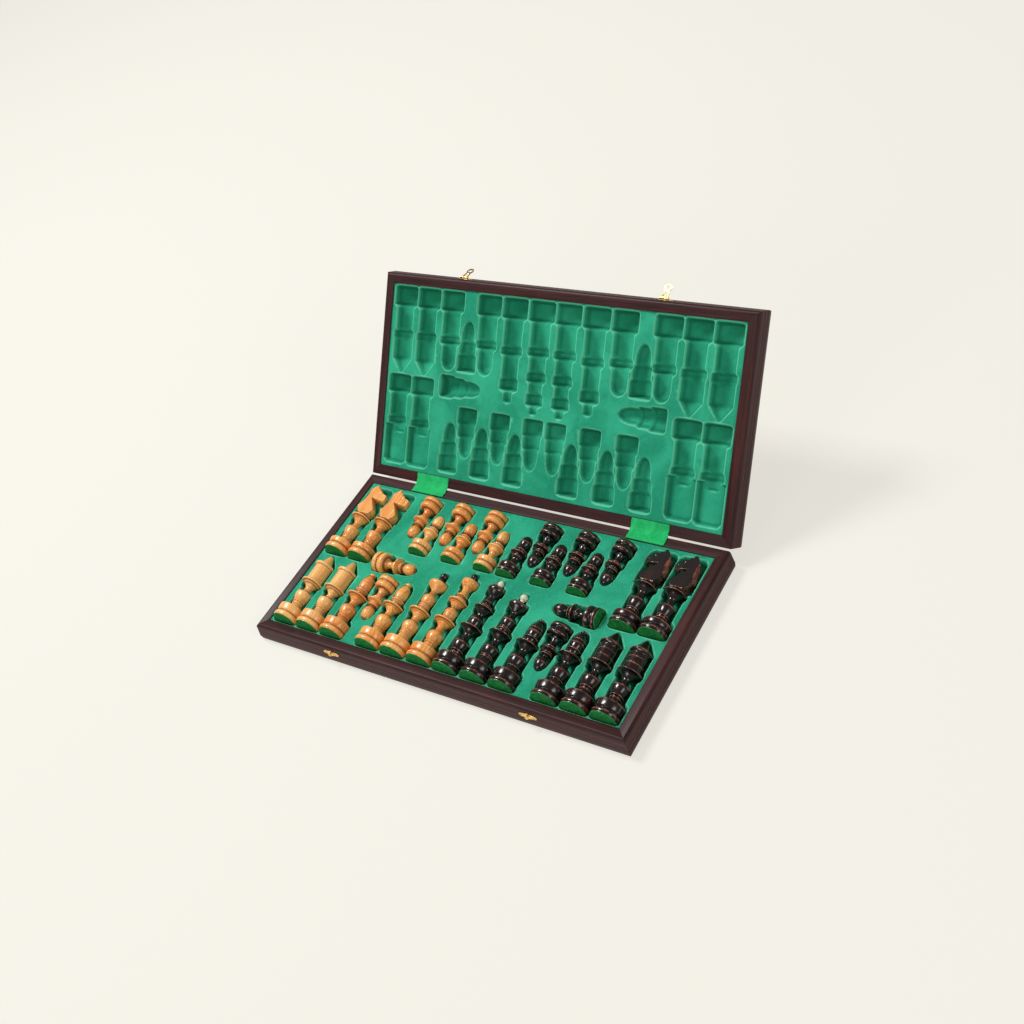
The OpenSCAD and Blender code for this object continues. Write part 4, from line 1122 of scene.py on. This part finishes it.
def hollow_line(kind):
    """Radius of the hollow every tenth of a millimetre along the man, below 0 outside it."""
    h = np.arange(-20, 1560) / 10
    r = np.full(h.shape, -1.0)
    low = -ROOM
    for radius, top in STEPS[kind]:
        r[(h >= low - 0.01) & (h < top)] = radius + ROOM
        low = top
    if kind in TIPS:
        z0, z1, wide = TIPS[kind]
        t = (h - z0) / (z1 - z0 + ROOM)
        pointed = (wide + ROOM) * (1 - t) + t
        rounded = (wide + ROOM) * np.sqrt(np.clip(1 - t * t, 0, 1))
        tip = pointed if kind == "rook" else rounded
        r = np.where((t >= 0) & (t <= 1), np.maximum(r, tip), r)
    hollow = np.nonzero(r > 0)[0]
    first, last = hollow[0], hollow[-1]
    r[:first], r[last + 1:] = r[first], r[last]
    r = smoothed(r, 11)
    for away, corner in ((h - h[first], 2.6), (h[last] - h, 2.2)):
        t = np.clip(corner - away, 0, corner)
        r -= corner - np.sqrt(corner ** 2 - t ** 2)
    r[:first], r[last + 1:] = -1, -1
    return h, r


LINES = {kind: hollow_line(kind) for kind in STEPS}


def head_depth(h, d):
    """Depth of the box-shaped hollow for a horse head, its walls drawn in downwards."""
    wide, low, top, corner = 18.6 + ROOM, 70.6, 125.8, 8.0
    x = np.abs(d) - (wide - corner)
    y = h - (top - corner)
    edge = np.where((x > 0) & (y > 0), corner - np.hypot(np.maximum(x, 0), np.maximum(y, 0)),
                    np.minimum(wide - np.abs(d), np.minimum(top - h, 99)))
    return np.where((edge > 0) & (h > low), np.minimum(THICK + ROOM, 2.4 + edge * 1.9), 0.0)


# %% The height of a tray
CELLS = 480, 224
FORM_BLUR, LIP_BLUR, UNDER_BLUR, LIP_FULL = 0.65, 1.4, 2.0, 1.1


def tray_field():
    """Heights over the tray, and the places of the grid."""
    ex, ey = LENGTH / 2 - RAIL - TRAY_GAP, WIDTH / 2 - RAIL - TRAY_GAP
    xs, ys = np.linspace(-ex, ex, CELLS[0] + 1), np.linspace(-ey, ey, CELLS[1] + 1)
    height = np.full((len(ys), len(xs)), TRAY_TOP)
    for side in (-1, 1):
        for kind, form, r, way, x, y in MEN:
            kind = kind.split("_")[0]
            if way == "end":
                h, d = np.meshgrid(x - side * xs, ys - y)
            else:
                h = ((ys - y) if way == "front" else (y - ys))[:, None] + 0 * xs[None]
                d = (xs - side * x)[None] + 0 * ys[:, None]
            radius = np.interp(h, *LINES[kind])
            depth = np.sqrt(np.clip(radius ** 2 - d ** 2, 0, None)) * (radius > 0)
            if kind == "knight":
                depth = np.maximum(depth, head_depth(h, d))
            height = np.minimum(height, np.where(depth > 0, LIE - depth, TRAY_TOP))
    return xs, ys, height


def blurred(field, sigma):
    for axis in (0, 1):
        field = np.apply_along_axis(smoothed, axis, field, sigma)
    return field


xs, ys, sharp_height = tray_field()
skin = blurred(sharp_height, FORM_BLUR)
# Above 0 on outer lips and below 0 in inner bends; the flock paints a highlight and shade from it.
lip = skin - blurred(skin, LIP_BLUR)
print("tray grid:", skin.shape, "deepest", round(float(skin.min()), 2))

# %% [markdown]
# The grid has over a hundred thousand cells, far more than the flat parts need. So the
# skin is built from squares of mixed size: blocks of sixteen by sixteen cells are split
# in four, and again, until each is flat enough. Where a large square meets small ones, it
# becomes a fan of triangles round its middle, so that every corner is shared and nothing
# gapes. Each point's normal is taken from the height field itself.

# %% Squares of mixed size
TRAY_WALL = 1.0
TOP_UNEVEN, TOP_BEND = 0.12, 0.45
LOW_UNEVEN, LOW_BEND = 0.55, 5.0


def mixed_squares(height, uneven, bend):
    """Faces over the grid, as places (row, column); the border keeps single cells."""
    rows, cols = height.shape[0] - 1, height.shape[1] - 1
    slopes = np.gradient(height, ys, xs)
    waiting = np.ones((rows // 16, cols // 16), bool)
    squares = []
    for size in (16, 8, 4, 2, 1):
        down, over = rows // size, cols // size
        flat = np.ones((down, over), bool)
        if size > 1:
            def every(field, j, i):
                return field[j:j + rows - size + 1:size, i:i + cols - size + 1:size]
            corners = [every(height, j, i) for j in (0, size) for i in (0, size)]
            low = [np.full((down, over), np.inf) for _ in slopes]
            high = [np.full((down, over), -np.inf) for _ in slopes]
            for j in range(size + 1):
                for i in range(size + 1):
                    a, b = j / size, i / size
                    plane = ((corners[0] * (1 - b) + corners[1] * b) * (1 - a)
                             + (corners[2] * (1 - b) + corners[3] * b) * a)
                    flat &= np.abs(every(height, j, i) - plane) < uneven
                    for k, slope in enumerate(slopes):
                        low[k] = np.minimum(low[k], every(slope, j, i))
                        high[k] = np.maximum(high[k], every(slope, j, i))
            for k in (0, 1):
                flat &= high[k] - low[k] < bend
            flat[[0, -1]], flat[:, [0, -1]] = False, False
        squares += [(j * size, i * size, size) for j, i in np.argwhere(waiting & flat).tolist()]
        waiting = (waiting & ~flat).repeat(2, 0).repeat(2, 1)
    used = np.zeros(height.shape, bool)
    for j, i, size in squares:
        used[j, i] = used[j, i + size] = used[j + size, i] = used[j + size, i + size] = True
    faces = []
    for j, i, n in squares:
        if n == 1:
            faces.append(((j, i), (j, i + 1), (j + 1, i + 1), (j + 1, i)))
            continue
        ring = ([(j, i + t) for t in range(n)] + [(j + t, i + n) for t in range(n)]
                + [(j + n, i + n - t) for t in range(n)] + [(j + n - t, i) for t in range(n)])
        ring = [place for place in ring if used[place]]
        if len(ring) == 4:
            faces.append(tuple(ring))
            continue
        middle = (j + n // 2, i + n // 2)
        used[middle] = True
        faces += [(middle, a, b) for a, b in zip(ring, ring[1:] + ring[:1])]
    return used, faces


def lowest(field):
    """The field with each point as low as its lowest neighbour."""
    wide, (rows, cols) = np.pad(field, 1, "edge"), field.shape
    return np.min([wide[j:j + rows, i:i + cols] for j in range(3) for i in range(3)], 0)


def closed_row(index):
    """The numbers round the border of a grid of points."""
    return np.concatenate([index[0], index[1:, -1], index[-1, -2::-1], index[-2:0:-1, 0]]).tolist()


def walls(upper, lower):
    """Faces that join two closed rows of points."""
    return [(b, a, c, d) for a, b, c, d in zip(upper, upper[1:] + upper[:1],
                                               lower, lower[1:] + lower[:1])]


def skin_mesh(height, uneven, bend, below):
    """Points, faces, normals and lip marks of one side of the tray."""
    used, faces = mixed_squares(height, uneven, bend)
    number = np.full(height.shape, -1)
    number[used] = np.arange(used.sum())
    gx, gy = np.meshgrid(xs, ys)
    slope_y, slope_x = np.gradient(height, ys, xs)
    normals = np.stack([-slope_x[used], -slope_y[used], np.ones(used.sum())], 1)
    normals /= np.linalg.norm(normals, axis=1)[:, None]
    points = np.stack([gx[used], gy[used], height[used] - below], 1)
    faces = [tuple(int(number[place]) for place in face) for face in faces]
    return points, faces, normals, np.clip(lip[used] / LIP_FULL, -1, 1), closed_row(number)


# %% Both sides of the trays
top, top_faces, top_normals, top_lips, top_edge = skin_mesh(skin, TOP_UNEVEN, TOP_BEND, 0.0)
under = np.minimum(skin, blurred(lowest(lowest(skin)), UNDER_BLUR))
low, low_faces, low_normals, low_lips, low_edge = skin_mesh(
    under, LOW_UNEVEN, LOW_BEND, TRAY_WALL)
n = len(top)
low_edge = [i + n for i in low_edge]
tray_points = np.concatenate([top, low])
tray_faces = (top_faces + [tuple(i + n for i in reversed(f)) for f in low_faces]
              + walls(top_edge, low_edge))
tray_normals = np.concatenate([top_normals, -low_normals])
tray_marks = {"lip": np.concatenate([top_lips, low_lips])}
for body in ("base", "lid"):
    made = piece(f"{body}_flocked_tray", tray_points, tray_faces, body, "flock", [f"{body}_tray"],
                 [flock], marks=tray_marks)
    normals = tray_normals
    if body == "lid":
        normals = to_lid(normals) - to_lid(np.zeros((1, 3)))
    made.data.normals_split_custom_set_from_vertices(normals.tolist())
print("tray:", len(top_faces), "faces above,", len(low_faces), "below,",
      sum(len(f) - 2 for f in tray_faces), "triangles")

# %% [markdown]
# ## Hinges and latches
#
# These are small stampings. Their solids already have the right outline, so they are
# copied with their edges eased by a tenth of a millimetre. Screws and nails repeat, so
# a tree of nodes sets one screw or nail on each marked point, turned to its direction.

# %% Stampings
for node, body in (("hinge_base_leaves", "base"), ("hinge_lid_leaves", "lid"),
                   ("hinge_pins", "base"), ("catch_plates", "base"), ("hasp_plates", "lid")):
    eased(node + "_stamped", node, body, "brass", brass, 0.1, 1.2, sharp=35)

for name in ("hasp_left", "hasp_right"):
    eased(name + "_stamped", name, name, "brass", brass, 0.12, 0.55, steep=50, sharp=40)


# %% Screws and nails
POINT = 0.00025


def fixing_tree(slotted):
    """A tree that sets a slotted screw or a round nail on each point it is given."""
    g = Growing("screws" if slotted else "nails", Head_Radius=0.00115, Head_Height=0.0007,
                Shank_Radius=0.0006, Length=0.005, Sides=24)
    wide, high, shank_wide, length, sides = g.given(
        "Head_Radius", "Head_Height", "Shank_Radius", "Length", "Sides")
    if slotted:
        head = g.geo("MeshCone", {"Vertices": sides, "Radius Top": wide,
                                  "Radius Bottom": shank_wide, "Depth": high})
        size = g.vector(g.math("MULTIPLY", wide, 2.4), g.math("MULTIPLY", wide, 0.26), 0.0007)
        slot = g.geo("MeshCube", {0: size})
        slot = g.geo("Transform", {"Geometry": slot, "Translation": g.vector(0.0, 0.0, high)})
        cut = g.add("GeometryNodeMeshBoolean", {0: head}, operation="DIFFERENCE")
        g.tree.links.new(slot, cut.inputs[1])
        head = cut.outputs[0]
    else:
        ball = g.geo("MeshUVSphere", {0: sides, 1: 10, 2: 1.0})
        head = g.geo("Transform", {"Geometry": ball, "Scale": g.vector(wide, wide, high)})
    shank = g.geo("MeshCone", {"Vertices": sides, "Radius Top": shank_wide,
                               "Radius Bottom": POINT, "Depth": length})
    down = g.vector(0.0, 0.0, g.math("SUBTRACT", 0.0, length))
    shank = g.geo("Transform", {"Geometry": shank, "Translation": down})
    whole = g.add("GeometryNodeJoinGeometry")
    for part in (head, shank):
        g.tree.links.new(part, whole.inputs[0])
    way = g.geo("InputNamedAttribute", {"Name": "way"}, data_type="FLOAT_VECTOR")
    turn = g.add("FunctionNodeAlignRotationToVector", {"Vector": way}, axis="Z").outputs[0]
    points = g.geo("MeshToPoints", {0: g.start.outputs["Geometry"]})
    laid_out = g.geo("InstanceOnPoints", {"Points": points, "Instance": whole.outputs[0],
                                          "Rotation": turn})
    g.finish(g.geo("SetShadeSmooth", {"Geometry": laid_out}), brass)
    return g


SIDE_LEAN, SIDE_TALL = 2, RIM * 0.76 - 4
SIDE_TILT = math.atan(SIDE_LEAN / SIDE_TALL)
PLATE, PLATE_Z, LATCH_X = 0.8, RIM - 9.6, 156.0
CATCH_LENGTH, HASP_LENGTH = 26, 22
SCREW_BACK, SCREW_DEEP, SCREW_APART = 7, 0.9, 12.92
side_out = np.array([0, -math.cos(SIDE_TILT), -math.sin(SIDE_TILT)])
side_y = -WIDTH / 2 - SIDE_LEAN * (RIM - 4 - PLATE_Z) / SIDE_TALL


def latch_nails(length):
    """Places and directions of the nails in plates of this length."""
    spots = [np.array([s * LATCH_X + t * length * 0.36, side_y, PLATE_Z]) + side_out * PLATE
             for s in (-1, 1) for t in (-1, 1)]
    return spots, [side_out] * 4


def leaf_screws():
    """Places and directions of the screws in the leaves of one half."""
    spots = [(s * HINGE_X + x, WIDTH / 2 - SCREW_BACK, RIM - SCREW_DEEP)
             for s in (-1, 1) for x in (-SCREW_APART, 0, SCREW_APART)]
    return spots, [(0, 0, 1)] * 6


nails, screws = fixing_tree(False), fixing_tree(True)
screw_sizes = {"Head_Radius": 0.0019, "Head_Height": 0.0008, "Shank_Radius": 0.0009,
               "Length": 0.0078}
for name, node, body, tree, (spots, ways), sizes in (
        ("catch_pins", "catch_nails", "base", nails, latch_nails(CATCH_LENGTH), {}),
        ("hasp_pins", "hasp_nails", "lid", nails, latch_nails(HASP_LENGTH), {}),
        ("base_leaf_screws", "hinge_base_screws", "base", screws, leaf_screws(), screw_sizes),
        ("lid_leaf_screws", "hinge_lid_screws", "lid", screws, leaf_screws(), screw_sizes)):
    points, faces, _ = tree.grow(marked_mesh("fixing points", spots, [], {"way": ways}), **sizes)
    piece(name, points, faces, body, "brass", [node], [brass], sharp=40)
    print(name, len(faces), "faces")

# %% [markdown]
# ## Felt bands over the hinges
#
# Each hinge is hidden under a strip of thick felt, glued to both rims, that bows over the
# gap. It is drawn as a path in the side view, laid out along X, and roughened by small
# waves, with the cut edges not quite straight.

# %% The felt bands
BAND_WIDE, BAND_THICK = 55.0, 1.2
FIT, REACH = 0.3, 8.0
TAB_START, TAB_END = RAIL + 1.0, 10.4
OPEN_COS, OPEN_SIN = math.cos(math.radians(OPEN)), math.sin(math.radians(OPEN))


def band_path(lift):
    """The band's line in (y, z) from the base's rim over the gap to the lid's rim."""
    turn = math.pi - math.radians(OPEN)
    h = FIT - 0.2
    radius = REACH / math.tan(turn / 2)
    first = [(-TAB_START + (TAB_START - TAB_END) * i / 5, h + lift) for i in range(6)]
    bend = [(-REACH - h * math.tan(turn / 2) + (radius - lift) * math.sin(turn * i / 16),
             h + radius - (radius - lift) * math.cos(turn * i / 16)) for i in range(17)]
    last = [(OPEN_COS * y - OPEN_SIN * z, -OPEN_SIN * y - OPEN_COS * z)
            for y, z in reversed(first)]
    return np.array(first + bend + last)


def felt_band(name, x0, seed):
    """One band round its middle x0, roughened by chance waves."""
    rng = np.random.default_rng(seed)
    low, high = band_path(0.0), band_path(BAND_THICK)
    rows, cols = 44, 78
    low, high = (at(path, lengths(path), np.linspace(0, lengths(path)[-1], rows))
                 for path in (low, high))
    x = np.linspace(-BAND_WIDE / 2, BAND_WIDE / 2, cols)
    waves = rng.uniform(-2.6, 2.6, (14, 2))
    phase = rng.uniform(0, 6.28, 14)
    def rough(i, j, size):
        return size * sum(np.sin(w[0] * i + w[1] * j + p) for w, p in zip(waves, phase)) / 3
    layers = []
    for path, sign in ((high, 1), (low, -1)):
        tangent = np.gradient(path, axis=0)
        tangent /= np.linalg.norm(tangent, axis=1)[:, None]
        out = np.stack([-tangent[:, 1], tangent[:, 0]], 1)
        i, j = np.meshgrid(np.arange(rows) * 0.6, x, indexing="ij")
        lift = rough(i, j, 0.035) if sign > 0 else rough(i, j, 0.01)
        edge = np.abs(j) / (BAND_WIDE / 2)
        lift = lift - (0.3 * np.clip((edge - 0.975) / 0.025, 0, 1) ** 2) * (sign > 0)
        wobble = 0.25 * np.sin(0.45 * np.arange(rows) + phase[0])[:, None] * edge ** 8
        layers.append(np.stack([x0 + j + wobble * np.sign(j),
                                AXIS_Y + path[:, :1] + out[:, :1] * lift,
                                AXIS_Z + path[:, 1:] + out[:, 1:] * lift], 2))
    points = np.concatenate([layer.reshape(-1, 3) for layer in layers])
    n = rows * cols
    ring = closed_row(np.arange(n).reshape(rows, cols))
    top = [(k, k + 1, k + 1 + cols, k + cols)
           for i in range(rows - 1) for k in range(i * cols, (i + 1) * cols - 1)]
    faces = (top + [tuple(k + n for k in reversed(f)) for f in top]
             + walls(ring, [k + n for k in ring]))
    made = shaded(name, points, faces, [felt], sharp=60)
    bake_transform(made)
    return made


for side, x0, seed in (("left", -HINGE_X, 21), ("right", HINGE_X, 22)):
    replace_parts(felt_band(side + "_felt_strip", x0, seed), "felt_band_" + side)

# %% [markdown]
# ## Light, floor and camera
#
# The picture is lit softly from the upper left. One large lamp does most of the work and
# sinks the far walls of the hollows into shade. A second lights the feet of the men from
# the front, and a third from the right draws the highlight along the rounded rim.

# %% Floor and world
PAPER = rgb(243, 240, 231)
SEEN_GLOW, MIRRORED_GLOW, SKY = 0.75, 0.5, 0.22


def paper(name):
    f = Finish(name, Base_Color=PAPER, Roughness=0.9, Specular_IOR_Level=0.1)
    shine = f.add("ShaderNodeEmission", {"Color": PAPER, "Strength": 1.0})
    path = f.add("ShaderNodeLightPath")
    glows = [f.math("MULTIPLY", path.outputs[ray], glow)
             for ray, glow in (("Is Camera Ray", SEEN_GLOW), ("Is Glossy Ray", MIRRORED_GLOW))]
    blend = f.add("ShaderNodeMixShader", {0: f.math("MAXIMUM", *glows),
                                          1: f.shader.outputs[0], 2: shine.outputs[0]})
    f.tree.links.new(blend.outputs[0], f.out.inputs[0])
    return f.material


def floor():
    """The paper that the box stands on."""
    bm = bmesh.new()
    bmesh.ops.create_grid(bm, x_segments=2, y_segments=2, size=6.0)
    mesh = bpy.data.meshes.new("floor")
    bm.to_mesh(mesh)
    bm.free()
    mesh.materials.append(paper("pale_floor"))
    made = placed("floor", mesh)
    made.location.z = -0.0005


floor()
world = bpy.data.worlds.new("soft world")
bpy.context.scene.world = world
world.use_nodes = True
sky = world.node_tree.nodes["Background"]
sky.inputs[0].default_value = PAPER
sky.inputs[1].default_value = SKY


# %% Lamps
def lamp(name, place, target, size, power):
    """A soft lamp that looks at its target."""
    data = bpy.data.lights.new(name, "AREA")
    data.shape = "RECTANGLE"
    data.size, data.size_y = size
    data.energy = power
    made = placed(name, data)
    made.location = place
    made.rotation_euler = (Vector(target) - Vector(place)).to_track_quat("-Z", "Y").to_euler()


lamp("key", (-2.0, 0.4, 3.4), (0, 0.05, 0.05), (1.0, 1.0), 125)
lamp("front", (-0.6, -3.4, 1.8), (0, 0, 0.05), (1.6, 1.6), 34)
lamp("side", (3.0, -0.6, 2.0), (0, 0.1, 0.1), (2.0, 1.2), 34)

# %% [markdown]
# The camera stands where eight corners of the two rims fall on the same pixels as in the
# picture. Upright edges lean in the picture, so the camera is rolled about its own axis.

# %% Camera
AZIMUTH, ELEVATION, ROLL = 48.2532, 42.5520, -24.7532
STAND = (0.96502, -0.75583, 1.25213)
FOCAL_PIXELS, FRAME_PIXELS, SENSOR = 1340.34, 1024, 36


def aimed(azimuth, elevation, roll):
    """The camera's turn; azimuth and elevation are where it looks from."""
    a, e, t = (math.radians(x) for x in (azimuth, elevation, roll))
    view = Vector((-math.sin(a) * math.cos(e), math.cos(a) * math.cos(e), -math.sin(e)))
    right = view.cross(Vector((0, 0, 1))).normalized()
    up = right.cross(view)
    turned_right = math.cos(t) * right + math.sin(t) * up
    turned_up = math.cos(t) * up - math.sin(t) * right
    return Matrix((turned_right, turned_up, -view)).transposed().to_4x4()


lens = bpy.data.cameras.new("camera")
lens.sensor_fit = "HORIZONTAL"
lens.sensor_width = SENSOR
lens.lens = FOCAL_PIXELS / FRAME_PIXELS * SENSOR
lens.clip_end = 50
camera = placed("camera", lens)
camera.matrix_world = Matrix.Translation(STAND) @ aimed(AZIMUTH, ELEVATION, ROLL)
bpy.context.scene.camera = camera
bpy.context.scene.view_settings.view_transform = "Standard"
